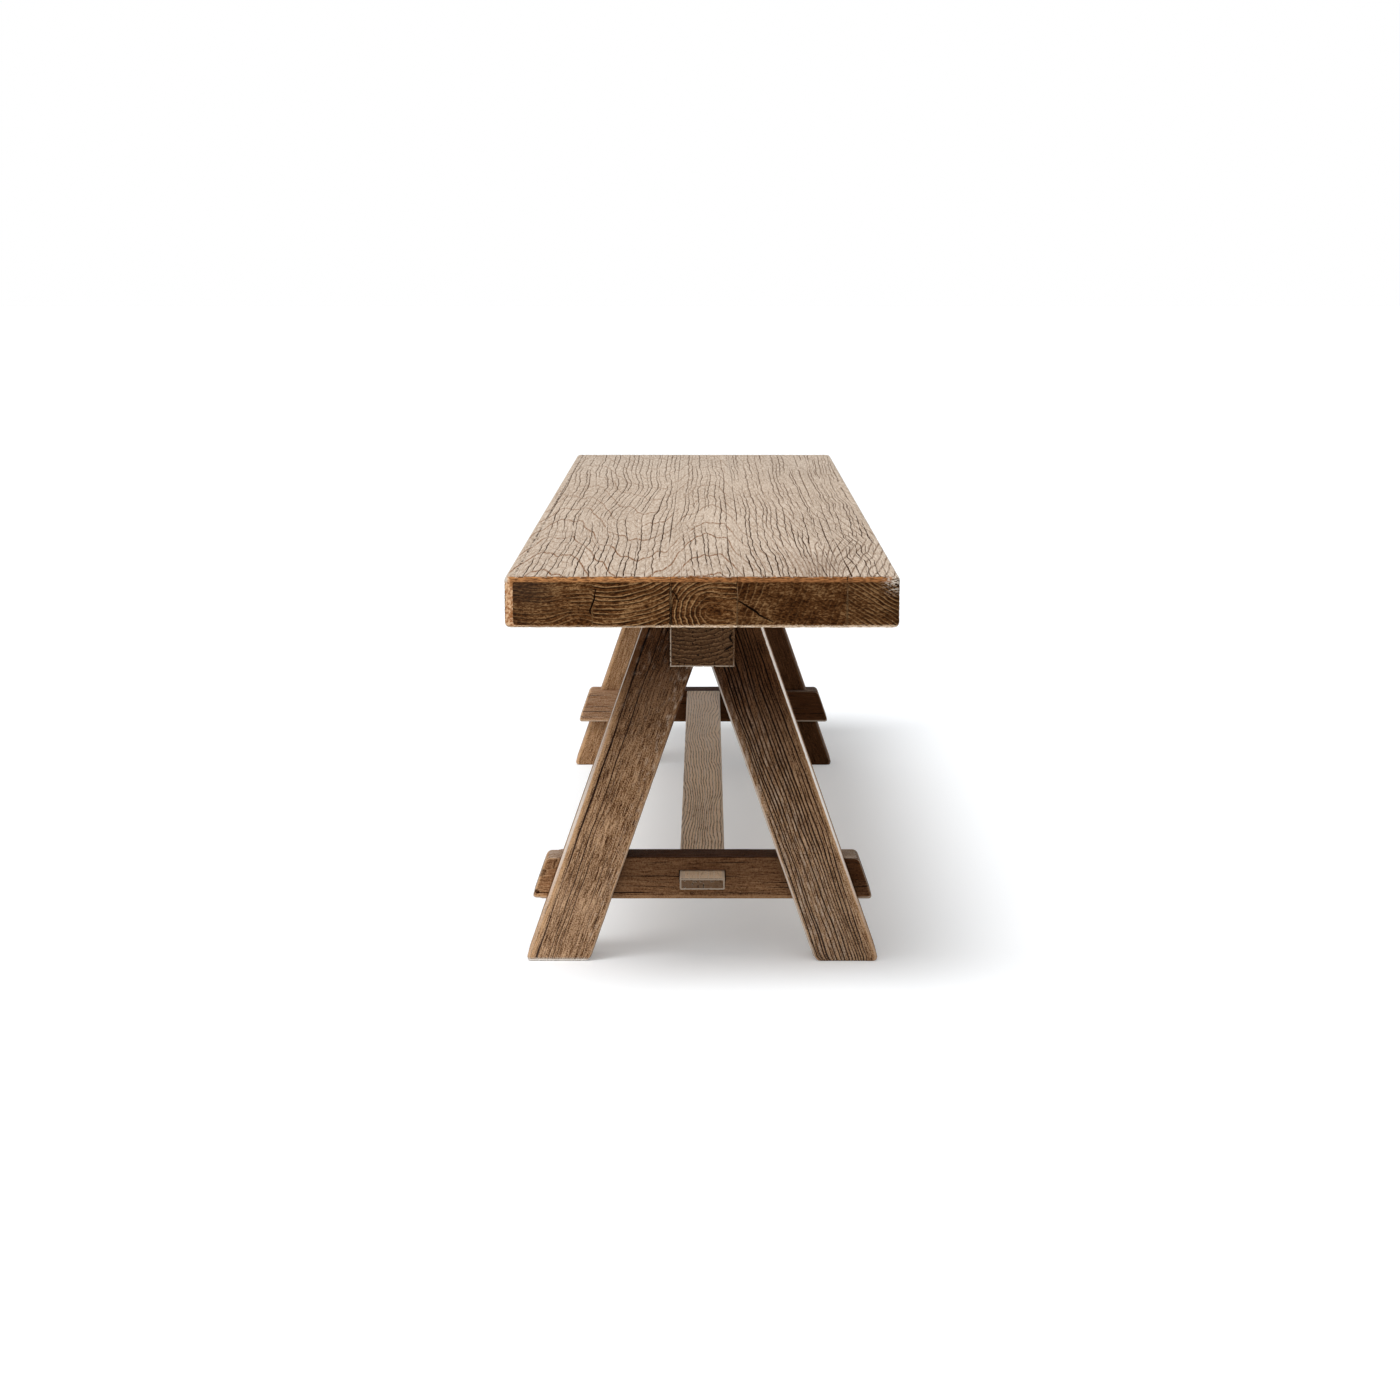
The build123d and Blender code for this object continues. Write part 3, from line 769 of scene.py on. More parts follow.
class Nodes:
    """Short calls that add nodes to a tree and join them."""

    def __init__(self, tree):
        self.tree = tree

    def add(self, kind, settings=None, inputs=None):
        node = self.tree.nodes.new(kind)
        for key, value in (settings or {}).items():
            setattr(node, key, value)
        for key, value in (inputs or {}).items():
            self.feed(node.inputs[key], value)
        return node

    def feed(self, socket, value):
        if isinstance(value, bpy.types.NodeSocket):
            self.tree.links.new(value, socket)
        elif socket.type == "RGBA" and len(value) == 3:
            socket.default_value = (*value, 1.0)
        else:
            socket.default_value = value

    def math(self, operation, first, second=0.0, clamp=False):
        node = self.add("ShaderNodeMath", {"operation": operation, "use_clamp": clamp},
                        {0: first, 1: second})
        return node.outputs[0]

    def times(self, first, second):
        return self.math("MULTIPLY", first, second)

    def plus(self, first, second):
        return self.math("ADD", first, second)

    def minus(self, first, second):
        return self.math("SUBTRACT", first, second)

    def larger(self, first, second):
        return self.math("MAXIMUM", first, second)

    def mix(self, factor, first, second, blend="MIX"):
        node = self.add("ShaderNodeMix", {"data_type": "RGBA", "blend_type": blend})
        self.feed(node.inputs[0], factor)
        self.feed(node.inputs[6], first)
        self.feed(node.inputs[7], second)
        return node.outputs[2]

    def remap(self, value, low, high, to_low=0.0, to_high=1.0):
        node = self.add("ShaderNodeMapRange", {"interpolation_type": "SMOOTHSTEP"},
                        {"Value": value, "From Min": low, "From Max": high,
                         "To Min": to_low, "To Max": to_high})
        return node.outputs[0]

    def noise(self, vector, scale, detail=2.0, roughness=0.5, distortion=0.0):
        node = self.add("ShaderNodeTexNoise", {"noise_dimensions": "3D"},
                        {"Vector": vector, "Scale": scale, "Detail": detail, "Roughness": roughness,
                         "Distortion": distortion})
        return node.outputs["Fac"]

    def stretch(self, vector, scales):
        node = self.add("ShaderNodeMapping", {"vector_type": "POINT"}, {"Vector": vector, "Scale": scales})
        return node.outputs[0]

    def streaks(self, vector, scales, detail=2.0, roughness=0.5):
        """Noise drawn out by a different scale on each axis."""
        return self.noise(self.stretch(vector, scales), 1.0, detail, roughness)

    def field(self, name):
        return self.add("ShaderNodeAttribute", {"attribute_name": name}).outputs["Fac"]

    def split(self, vector):
        node = self.add("ShaderNodeSeparateXYZ", inputs={"Vector": vector})
        return node.outputs[0], node.outputs[1], node.outputs[2]

    def group(self, name, **inputs):
        """A shared effect with its own values."""
        node = self.add("ShaderNodeGroup", {"node_tree": shared_group(name)})
        for key, value in inputs.items():
            self.feed(node.inputs[key], value)
        return node.outputs


def new_group(name, inputs, outputs):
    """Empty node group with named sockets: pairs of name and socket type."""
    tree = bpy.data.node_groups.new(name, "ShaderNodeTree")
    for text, kind, default in inputs:
        socket = tree.interface.new_socket(text, in_out="INPUT", socket_type=kind)
        if default is not None:
            socket.default_value = default
    for text, kind in outputs:
        tree.interface.new_socket(text, in_out="OUTPUT", socket_type=kind)
    nodes = Nodes(tree)
    start = nodes.add("NodeGroupInput").outputs
    end = nodes.add("NodeGroupOutput").inputs
    return tree, nodes, start, end


FLOAT, VECTOR = "NodeSocketFloat", "NodeSocketVector"


def fibre_group():
    """Fine fibres along the grain: noise on the grain chart, squeezed across and drawn out along."""
    tree, nodes, start, end = new_group(
        "Wood fibre", [("Chart", VECTOR, None), ("Across", FLOAT, 400.0), ("Along", FLOAT, 12.0)],
        [("Fine", FLOAT), ("Broad", FLOAT)])
    scale = nodes.add("ShaderNodeCombineXYZ", inputs={0: start["Across"], 1: start["Along"]})
    wide = nodes.add("ShaderNodeVectorMath", {"operation": "MULTIPLY"},
                     {0: start["Chart"], 1: scale.outputs[0]}).outputs[0]
    fine = nodes.noise(wide, 1.0, 3.0, 0.62)
    broad = nodes.noise(wide, 0.22, 2.0, 0.5, 0.4)
    nodes.feed(end["Fine"], nodes.remap(fine, 0.28, 0.72))
    nodes.feed(end["Broad"], nodes.remap(broad, 0.3, 0.7))
    return tree


def growth_line_group():
    """Growth lines: bright where the phase passes a whole number plus half, with an even width."""
    tree, nodes, start, end = new_group(
        "Growth line", [("Phase", FLOAT, 0.0), ("Slope", FLOAT, 1.0), ("Width", FLOAT, 1.0)],
        [("Line", FLOAT), ("Band", FLOAT)])
    part = nodes.math("FRACT", start["Phase"])
    gap = nodes.math("ABSOLUTE", nodes.minus(part, 0.5))
    reach = nodes.times(start["Slope"], start["Width"])
    line = nodes.math("SUBTRACT", 1.0, nodes.math("DIVIDE", gap, reach), clamp=True)
    nodes.feed(end["Line"], line)
    nodes.feed(end["Band"], nodes.remap(gap, 0.0, 0.5))
    return tree


def edge_wear_group():
    """Worn arris: 1 on an edge, 0 past the worn width, its border broken up by noise.

    Edge is the distance from the arris over the worn width, so the border lies where it is 1.
    """
    tree, nodes, start, end = new_group(
        "Edge wear", [("Edge", FLOAT, 1.0), ("Place", VECTOR, None), ("Ragged", FLOAT, 0.5)],
        [("Wear", FLOAT)])
    broken = nodes.noise(start["Place"], 260.0, 3.0, 0.6)
    shift = nodes.times(nodes.minus(broken, 0.5), start["Ragged"])
    gap = nodes.plus(start["Edge"], shift)
    nodes.feed(end["Wear"], nodes.remap(gap, 0.7, 1.15, 1.0, 0.0))
    return tree


def cloud_group():
    """Slow clouds of tone and a fine speckle, from a place on the object."""
    tree, nodes, start, end = new_group(
        "Tone clouds", [("Place", VECTOR, None), ("Scale", FLOAT, 7.0)],
        [("Cloud", FLOAT), ("Speckle", FLOAT)])
    cloud = nodes.add("ShaderNodeTexNoise", inputs={"Vector": start["Place"], "Scale": start["Scale"],
                                                    "Detail": 3.0}).outputs["Fac"]
    speckle = nodes.noise(start["Place"], 700.0, 2.0, 0.7)
    nodes.feed(end["Cloud"], nodes.remap(cloud, 0.3, 0.7))
    nodes.feed(end["Speckle"], nodes.remap(speckle, 0.3, 0.7))
    return tree


def shared_group(name):
    """A shared effect, built the first time it is asked for."""
    makers = {"Wood fibre": fibre_group, "Growth line": growth_line_group,
              "Edge wear": edge_wear_group, "Tone clouds": cloud_group}
    return bpy.data.node_groups.get(name) or makers[name]()


def new_material(name, specular=0.04):
    """A new material, its short node calls and its shader."""
    material = bpy.data.materials.new(name)
    material.use_nodes = True
    nodes = Nodes(material.node_tree)
    shader = material.node_tree.nodes["Principled BSDF"]
    shader.inputs["Specular IOR Level"].default_value = specular
    return material, nodes, shader


def finish_material(nodes, shader, colour, roughness, height, strength, distance):
    """Joins colour, roughness and bump to the shader."""
    nodes.feed(shader.inputs["Base Color"], colour)
    nodes.feed(shader.inputs["Roughness"], roughness)
    bump = nodes.add("ShaderNodeBump", inputs={"Strength": strength, "Distance": distance,
                                               "Height": height})
    nodes.feed(shader.inputs["Normal"], bump.outputs[0])


def seat_material():
    """Bleached top with brown growth lines and dark fissures, sawn ends with rings, worn arrises."""
    # painted light in this material: pale lips by the fissures, the pale arris under the ends, the bright
    # left arris, darker right ends
    settings = bpy.context.scene.bench_seat
    material, nodes, shader = new_material("Weathered seat plank", 0.0)
    coordinates = nodes.add("ShaderNodeTexCoord").outputs
    place, chart = coordinates["Object"], coordinates["UV"]
    x, y, z = nodes.split(place)
    crack, edge, cut = nodes.field("crack"), nodes.field("edge"), nodes.field("cut")
    phase, slope = nodes.field("phase"), nodes.field("slope")
    clouds = nodes.group("Tone clouds", Place=nodes.stretch(place, (1.0, 0.3, 1.0)), Scale=11.0)
    fibre = nodes.group("Wood fibre", Chart=chart, Across=430.0, Along=34.0)
    line = nodes.group("Growth line", Phase=phase, Slope=slope, Width=1.0)
    # two finer lines between each pair of growth lines
    finer = 3.0
    between = nodes.group("Growth line", Phase=nodes.times(phase, finer), Slope=nodes.times(slope, finer),
                          Width=0.65)

    top_seen = nodes.remap(z, SEAT_TOP - 4.0 * MM, SEAT_TOP - 1.4 * MM)
    flecks = nodes.remap(nodes.streaks(place, (520.0, 60.0, 300.0), 3.0, 0.7), 0.38, 0.62)
    top = nodes.mix(clouds["Cloud"], settings.top_shade, settings.top_colour)
    top = nodes.mix(nodes.times(flecks, 0.5), top, srgb(152, 127, 105))
    top = nodes.mix(nodes.remap(y, 0.1, 0.7, 0.0, 0.22), top, srgb(144, 138, 132))
    top = nodes.mix(nodes.times(fibre["Fine"], 0.6), top, srgb(244, 230, 214))
    patchy = nodes.streaks(place, (30.0, 6.0, 1.0), 2.0)
    front = nodes.remap(y, -0.70, -0.40, 1.0, 0.3)
    often = nodes.times(line["Line"], nodes.larger(front, nodes.remap(patchy, 0.34, 0.52)))
    seldom = nodes.times(between["Line"], nodes.remap(patchy, 0.60, 0.46, 0.0, 0.45))
    either_side = nodes.larger(nodes.remap(x, 0.045, 0.03), nodes.remap(x, 0.07, 0.13, 0.6, 0.9))
    clear = nodes.times(nodes.remap(y, -0.55, 0.35, 1.0, 0.5), either_side)
    clear = nodes.times(clear, nodes.remap(flecks, 0.0, 1.0, 0.6, 1.0))
    brown = nodes.times(nodes.remap(nodes.larger(often, seldom), 0.0, 0.7), clear)
    rings = nodes.mix(nodes.remap(x, 0.06, 0.14), settings.ring_colour, srgb(112, 86, 66))
    top = nodes.mix(brown, top, rings)
    # painted highlight: a pale lit wall beside each fissure
    lip = nodes.times(nodes.remap(crack, 0.01, 0.06), nodes.remap(crack, 0.22, 0.10))
    top = nodes.mix(nodes.times(lip, 0.5), top, srgb(240, 228, 214))
    broken = nodes.times(crack, nodes.remap(flecks, 0.0, 1.0, 0.75, 1.25))
    dark = nodes.remap(broken, 0.12, 0.50)
    seen = nodes.times(dark, nodes.remap(y, -0.60, 0.40, 1.0, 0.62))
    top = nodes.mix(nodes.remap(broken, 0.02, 0.15, 0.0, 0.4), top, srgb(150, 118, 90))
    top = nodes.mix(seen, top, settings.crack_colour)

    grain = nodes.mix(fibre["Fine"], srgb(104, 75, 52), settings.flank_colour)
    flank = nodes.mix(nodes.times(dark, 0.9), grain, settings.crack_colour)

    bold = nodes.field("bold")
    ridge = nodes.group("Growth line", Phase=phase, Slope=slope, Width=0.95)
    hollow = nodes.group("Growth line", Phase=nodes.plus(phase, HOLLOW_LAG), Slope=slope, Width=1.3)
    end_noise = nodes.streaks(place, (300.0, 40.0, 800.0), 3.0, 0.7)
    fuzz = nodes.remap(end_noise, 0.34, 0.66)
    blotch = nodes.remap(nodes.streaks(place, (38.0, 1.0, 80.0), 3.0), 0.3, 0.7)
    tone = nodes.plus(nodes.times(fuzz, 0.62), nodes.times(blotch, 0.38))
    end = nodes.mix(nodes.remap(tone, 0.1, 0.55), settings.end_dark, settings.end_colour)
    end = nodes.mix(nodes.remap(tone, 0.55, 1.0, 0.0, 0.5), end, settings.end_light)
    raised = nodes.times(bold, nodes.remap(fuzz, 0.0, 0.6, 0.45, 1.0))
    loud = nodes.larger(nodes.remap(x, 0.080, 0.055), nodes.remap(x, 0.142, 0.150))
    loud = nodes.times(loud, nodes.remap(x, -0.18, -0.12, 0.35, 1.0))
    raised = nodes.times(raised, nodes.remap(loud, 0.0, 1.0, 0.3, 1.0))
    end = nodes.mix(nodes.times(ridge["Line"], raised), end, settings.end_light)
    end = nodes.mix(nodes.times(hollow["Line"], bold), end, srgb(30, 17, 9))
    end = nodes.mix(nodes.remap(crack, 0.1, 0.55), end, srgb(20, 11, 6))
    # painted shade: the ends of the two right boards darker, away from the light
    end = nodes.mix(nodes.remap(x, 0.030, 0.042, 0.0, 0.28), end, srgb(28, 13, 5))
    shaded = nodes.times(nodes.remap(x, -0.13, -0.18), nodes.remap(z, 0.415, 0.445, 0.1, 0.5))
    end = nodes.mix(shaded, end, srgb(50, 40, 34))

    body = nodes.mix(top_seen, flank, top)
    body = nodes.mix(nodes.remap(cut, 0.3, 0.7), body, end)
    wear = nodes.group("Edge wear", Edge=edge, Place=place, Ragged=2.0)["Wear"]
    strands = nodes.streaks(place, (150.0, 200.0, 1100.0), 3.0, 0.6)
    band_noise = nodes.remap(strands, 0.34, 0.66)
    under = nodes.times(nodes.remap(edge, 0.72, 0.95), nodes.remap(edge, 1.35, 1.1))
    at_top = nodes.remap(z, SEAT_TOP - 9 * MM, SEAT_TOP - 7 * MM)
    under = nodes.times(nodes.times(under, at_top), nodes.remap(band_noise, 0.2, 0.7))
    body = nodes.mix(nodes.times(under, 0.85), body, srgb(40, 22, 12))
    arris = nodes.mix(nodes.remap(x, -0.08, 0.0), settings.arris_colour, srgb(158, 106, 64))
    arris = nodes.mix(nodes.remap(band_noise, 0.1, 0.8, 0.8, 0.0), arris, srgb(70, 39, 20))
    mottle = nodes.remap(nodes.noise(place, 300.0, 3.0, 0.7), 0.36, 0.62)
    # worn arris, partly painted light: the tan on the left edge of the ends is made bright as if lit from
    # the left
    tan = nodes.mix(mottle, srgb(150, 96, 56), srgb(226, 186, 146))
    # painted light: the worn arris under the ends made pale, as if lit from the floor
    pale = nodes.mix(nodes.remap(fuzz, 0.2, 0.8), srgb(176, 146, 116), settings.rim_colour)
    at_left = nodes.larger(nodes.remap(x, -0.1950, -0.1972), nodes.remap(z, 0.447, 0.445))
    not_top = nodes.minus(1.0, nodes.remap(z, SEAT_TOP - 0.8 * MM, SEAT_TOP - 0.3 * MM))
    wear = nodes.times(wear, nodes.remap(x, 0.196, 0.190))
    body = nodes.mix(nodes.times(wear, not_top), body, nodes.mix(at_left, arris, tan))
    chips = nodes.times(nodes.remap(x, 0.180, 0.196), nodes.remap(z, 0.434, 0.450))
    left_corner = nodes.times(nodes.remap(x, -0.1965, -0.2000), nodes.remap(z, 0.4490, 0.4530))
    chips = nodes.larger(nodes.times(chips, nodes.remap(end_noise, 0.50, 0.60)), left_corner)
    body = nodes.mix(nodes.times(chips, not_top), body, srgb(206, 194, 180))
    # painted light: the pale band along the bottom arris of the ends
    ragged = nodes.remap(fuzz, 0.0, 1.0, -0.0008, 0.0008)
    level = nodes.plus(nodes.plus(z, ragged), nodes.remap(x, -0.03, -0.07, 0.0, 0.0012))
    body = nodes.mix(nodes.remap(level, SEAT_UNDER + 3.4 * MM, SEAT_UNDER + 2.6 * MM), body, pale)

    height = nodes.plus(nodes.times(fibre["Fine"], 0.5), nodes.times(fuzz, 0.5))
    height = nodes.minus(height, nodes.times(line["Line"], 0.5))
    rough = nodes.remap(fibre["Fine"], 0.0, 1.0, 0.62, 0.78)
    finish_material(nodes, shader, body, rough, height, 0.5, 0.0004)
    return material


# Frame timber

# colour by which a stain and painted shade of 1 multiplies the wood, and the deepest of them
SHADE_STAIN_COLOUR = (0.15, 0.105, 0.075)
DEEPEST_SHADE_STAIN = 1.1


def frame_material(name, light, middle, dark, strip, arris, contrast=1.0, end_contrast=1.0, grey_share=1.0):
    """Brushed timber: fibres along the chart, dark grooves, worn arrises, and rings on cut ends.

    The field stain darkens it from 0 to 1, for stain and for painted shade. The field
    bleach takes it towards grey up to 1, with less grey and more white for a small
    grey_share, and from there on towards the arris colour; on rib crests and rail ends this is a painted
    highlight. Where edge is under 1 it takes the strip colour, and close to the arris itself, as far as
    polish asks, the arris colour, partly a painted highlight. contrast and
    end_contrast scale the tones of the long faces and of the cut ends.
    """
    material, nodes, shader = new_material(name)
    coordinates = nodes.add("ShaderNodeTexCoord").outputs
    place, chart = coordinates["Object"], coordinates["UV"]
    crack, edge, cut = nodes.field("crack"), nodes.field("edge"), nodes.field("cut")
    phase, slope = nodes.field("phase"), nodes.field("slope")
    clouds = nodes.group("Tone clouds", Place=place, Scale=16.0)
    fibre = nodes.group("Wood fibre", Chart=chart, Across=1300.0, Along=55.0)
    line = nodes.group("Growth line", Phase=phase, Slope=slope, Width=1.0)
    fuzz = nodes.remap(nodes.noise(place, 620.0, 3.0, 0.75), 0.38, 0.62)
    tone = nodes.times(fibre["Fine"], 0.52)
    for part, share in ((fibre["Broad"], 0.10), (clouds["Cloud"], 0.10), (fuzz, 0.28)):
        tone = nodes.plus(tone, nodes.times(part, share))
    softer = nodes.remap(nodes.split(place)[1], -0.4, 0.4, contrast, 0.6 * contrast)
    shade = nodes.plus(nodes.times(nodes.minus(tone, 0.48), softer), 0.5)
    wood = nodes.mix(nodes.remap(shade, 0.30, 0.50), dark, middle)
    wood = nodes.mix(nodes.remap(shade, 0.50, 0.72), wood, light)
    strip_seen = nodes.times(nodes.remap(edge, 1.0, 0.45), nodes.remap(cut, 0.5, 0.3))
    worn = nodes.mix(nodes.remap(tone, 0.22, 0.50), middle, strip)
    wood = nodes.mix(nodes.times(strip_seen, 0.8), wood, worn)
    drawn = nodes.times(nodes.remap(line["Line"], 0.0, 0.7), nodes.remap(tone, 0.3, 0.6, 1.0, 0.6))
    wood = nodes.mix(drawn, wood, dark)
    # painted highlight: a light lip along each groove
    lip = nodes.times(nodes.remap(crack, 0.02, 0.10), nodes.remap(crack, 0.34, 0.18))
    wood = nodes.mix(nodes.times(lip, nodes.remap(fuzz, 0.1, 0.6, 0.1, 0.8)), wood, light)
    torn = nodes.times(crack, nodes.remap(tone, 0.3, 0.7, 1.3, 0.8))
    wood = nodes.mix(nodes.remap(torn, 0.16, 0.44), wood, dark)
    wood = nodes.mix(nodes.remap(torn, 0.46, 0.95), wood, srgb(26, 14, 7))

    end_tone = nodes.plus(nodes.times(fuzz, 0.6), nodes.times(clouds["Cloud"], 0.4))
    end_tone = nodes.plus(nodes.times(end_tone, end_contrast), 0.45 - 0.45 * end_contrast)
    end = nodes.mix(nodes.remap(end_tone, 0.1, 0.5), dark, middle)
    end = nodes.mix(nodes.remap(end_tone, 0.5, 1.0), end, light)
    raised = nodes.remap(fuzz, 0.2, 0.6, 0.2, 0.8)
    end = nodes.mix(nodes.times(line["Line"], raised), end, light)
    hollow = nodes.group("Growth line", Phase=nodes.plus(phase, HOLLOW_LAG), Slope=slope, Width=1.0)
    end = nodes.mix(nodes.times(hollow["Line"], 0.8), end, dark)
    end = nodes.mix(nodes.remap(crack, 0.1, 0.6), end, srgb(24, 13, 8))

    body = nodes.mix(nodes.remap(cut, 0.3, 0.7), wood, end)
    stain = nodes.mix(nodes.field("stain"), (1.0, 1.0, 1.0), SHADE_STAIN_COLOUR)
    body = nodes.mix(1.0, body, stain, "MULTIPLY")
    grey = nodes.mix(nodes.remap(tone, 0.3, 0.7), srgb(140, 122, 106), srgb(206, 190, 174))
    grey = nodes.mix(grey_share, srgb(255, 250, 244), grey)
    grey = nodes.mix(nodes.remap(nodes.field("bleach"), 1.0, 1.8), grey, arris)
    bleached = nodes.times(nodes.field("bleach"), nodes.remap(tone, 0.35, 0.6, 0.5, 1.0))
    body = nodes.mix(bleached, body, grey)
    # wear and painted highlight: the arris colour along the edges that polish marks
    thin = nodes.times(edge, 4.0)
    wear = nodes.group("Edge wear", Edge=thin, Place=place, Ragged=1.2)["Wear"]
    body = nodes.mix(nodes.times(wear, nodes.field("polish")), body, arris)
    height = nodes.plus(nodes.times(fibre["Fine"], 0.6), nodes.times(fuzz, 0.4))
    rough = nodes.remap(tone, 0.0, 1.0, 0.74, 0.58)
    finish_material(nodes, shader, body, rough, height, 0.8, 0.0006)
    return material


def ring_end(heart, pitch, seed, relief_height, cracks=()):
    """Relief of a cut end: rings round a heart (a, b), pits and cracks."""

    def phase_at(a, b):
        rings = np.hypot(a - heart[0], b - heart[1]) / pitch
        return rings + 0.35 * layered_noise(a / 0.012, b / 0.008, seed)

    def describe(a, b):
        phase = phase_at(a, b)
        slope = slope_of(phase_at, a, b, RING_LINE, RING_LINE)
        ridge = bump_at((phase % 1.0) - 0.5, 0.0, 1.0 * slope)
        pits = ramp(noise(a / 0.003, b / 0.002, seed + 5), 0.35, 0.7)
        crack = 0.7 * pits
        for corners, half_width in cracks:
            crack = np.maximum(crack, crack_at(a, b, corners, half_width))
        fuzz = roughness(a / 0.002, b / 0.002, seed + 6)
        depth = relief_height * ((1 - ridge) + 0.6 * fuzz) + 1.6 * MM * crack
        return depth, crack, phase, slope

    return describe


def build_leg(name, material):
    """A leg: a level section carried upwards and sheared by its lean, housed for the rail.

    x is the foot's edge less the section's width and the lean times the height; beside the beam the
    inner edge is held at the beam's side.
    """
    settings = bpy.context.scene.bench_frame
    low, high = node_box(name)
    near, left = name.startswith("near"), name.endswith("left")
    index = LEGS.index(name)
    side = -1 if left else 1
    lean = math.tan(settings.leg_lean)
    level_width = settings.leg_width / math.cos(settings.leg_lean)
    foot = max(abs(low[0]), abs(high[0]))
    outer_y, inner_y = (low[1], high[1]) if near else (high[1], low[1])
    rail_low, rail_high = node_box("near_cross_rail" if near else "far_cross_rail")
    beam_low, beam_high = node_box("ridge_beam")
    rail_outer = rail_low[1] if near else rail_high[1]
    lap_depth = settings.lap_share * abs(rail_outer - inner_y)
    ledge = 0.05 * MM
    breaks = [rail_low[2] - ledge, rail_low[2] + ledge, rail_high[2] - ledge, rail_high[2] + ledge,
              beam_low[2] - ledge, beam_low[2] + ledge]
    rows = end_rows(low[2], high[2], settings.leg_arris, 3.2 * MM, breaks)
    # the section lies with a from the inner to the outer edge (0 to level_width) and b = 0 at the outer face
    depth_y = abs(outer_y - inner_y)
    ribbed = name == "near_leg_right"
    radius = settings.leg_arris
    if ribbed:
        centres = spread_centres(3.6 * MM, level_width - 8 * MM, 4.1 * MM, 400, 0.24)
        base, swing, half_width = np.full(len(centres), 0.80), 0.5, 0.76 * MM
    elif near:
        # two long cracks beside the outer edge, shorter ones further in
        centres = level_width - MM * np.array([64, 58, 52, 46, 40.5, 35, 29.5, 24, 18, 10.5])
        base, swing = np.array([0.1, 0.2, 0.25, 0.3, 0.25, 0.4, 0.3, 0.5, 0.35, 1.0]), 0.9
        half_width = MM * np.array([0.45, 0.5, 0.5, 0.55, 0.5, 0.6, 0.5, 0.65, 0.5, 0.95])
    else:
        centres = spread_centres(radius + 3 * MM, level_width - radius - 3 * MM, 8 * MM, 400 + index)
        base, swing, half_width = np.full(len(centres), 0.15), 0.7, 0.5 * MM
    front = grooved_face(radius, level_width - radius, centres, half_width, 1.0 * MM)
    cheek = spread_face(radius, depth_y - radius, 2 * MM, 6 * MM, 420 + index, 0.6 * MM, 1.6 * MM)
    faces = (front, cheek, front, cheek)
    foot_gap = rows - rows[0]
    arris = arris_inset(from_ends(rows), radius)
    corner = np.maximum(arris, arris_inset(foot_gap, settings.foot_corner))
    in_lap = (rows > rail_low[2]) & (rows < rail_high[2])
    back = arris + lap_depth * in_lap
    insets = (arris, corner, back, corner)
    deep = settings.rib_depth * (1.25 if ribbed else 0.85)

    def wander(place, row, side_number):
        seed = 440 + 4 * index + side_number
        drift = (6.0 if ribbed else 3.5) * noise(place / 0.05, row / 0.20, seed)
        drift = drift + 1.4 * noise(place / 0.02, row / 0.06, seed + 50)
        return MM * (drift + 0.4 * noise(place / 0.01, row / 0.02, seed + 60))

    def relief(place, row, side_number, shape, number):
        seed = 480 + 4 * index + side_number
        known = base[np.minimum(number, len(base) - 1)] if side_number % 2 == 0 else 0.45
        known = known + 0.25 * noise(number * 3.3 + 0.5, row / 0.04, seed + 7)
        strength = np.clip(known + swing * noise(number * 5.7 + 0.5, row / 0.16, seed), 0, 1)
        if ribbed and side_number == 0:
            strength = strength * ramp(place - 35 * MM * (row - 0.10), 0.5 * MM, 5 * MM)
        crack = shape * strength
        hidden = in_lap[:, None] if side_number == 2 else False
        fine = 0.30 * MM * roughness(place / 0.0026, row / 0.05, seed + 1)
        depth = np.where(hidden, 0, deep * crack + fine)
        chips = ramp(noise(place / 0.008, row / 0.012, seed + 2), 0.35, 0.8)
        face_width = level_width if side_number % 2 == 0 else depth_y
        near_edge = np.minimum(place - radius, face_width - radius - place)
        return depth + 0.8 * MM * chips * np.clip(1 - near_edge / (2 * MM), 0, 1), crack

    def to_space(a, b, along):
        a, b, along = np.broadcast_arrays(a, b, along)
        x = foot - level_width + a - lean * along
        beside_beam = np.maximum(x, beam_high[0] + 0.001 * (x - beam_high[0]))
        x = np.where(along > beam_low[2], beside_beam, x)
        y = outer_y + b * (1 if near else -1)
        return np.stack([side * x, y, along], -1)

    cracked = near and left
    outer_rim, inner_rim = (8 * MM if cracked else 4 * MM), 1.8 * MM
    box = (0.0, level_width, -depth_y, 0.0)
    surface = bar_surface(rows, box, (radius,) * 4, faces, insets, wander, relief,
                          (outer_rim, outer_rim, inner_rim, inner_rim), (1.2 * MM,) * 4)
    # b runs away from the outer face here, so the columns are turned round to stay clockwise
    points, crack, edge, girth = (values[:, ::-1] for values in surface)
    points = points * (1, -1)
    heart = (0.02, 0.07)
    ends = [ring_end(heart, 3.2 * MM, seed + index, relief_height)
            for seed, relief_height in ((520, 0.2 * MM), (530, 0.1 * MM))]
    piece = build_bar(name + "_wood", rows, (points, crack, edge, girth), ends, to_space, (1 * MM,) * 4,
                      cap_margin=1.0 * MM, cap_pitch=2.0 * MM)
    x, y, z = point_places(piece)
    # painted shade: darker towards the head under the seat, and more on the right and far right legs
    stain = 0.93 * (ramp(z, 0.11, 0.36) if side > 0 else ramp(z, 0.15, 0.37)) + (0.10 if side > 0 else 0.0)
    if not near:
        stain = (1.0 if side > 0 else 0.0) + 0.25 * ramp(z, 0.25, 0.4)
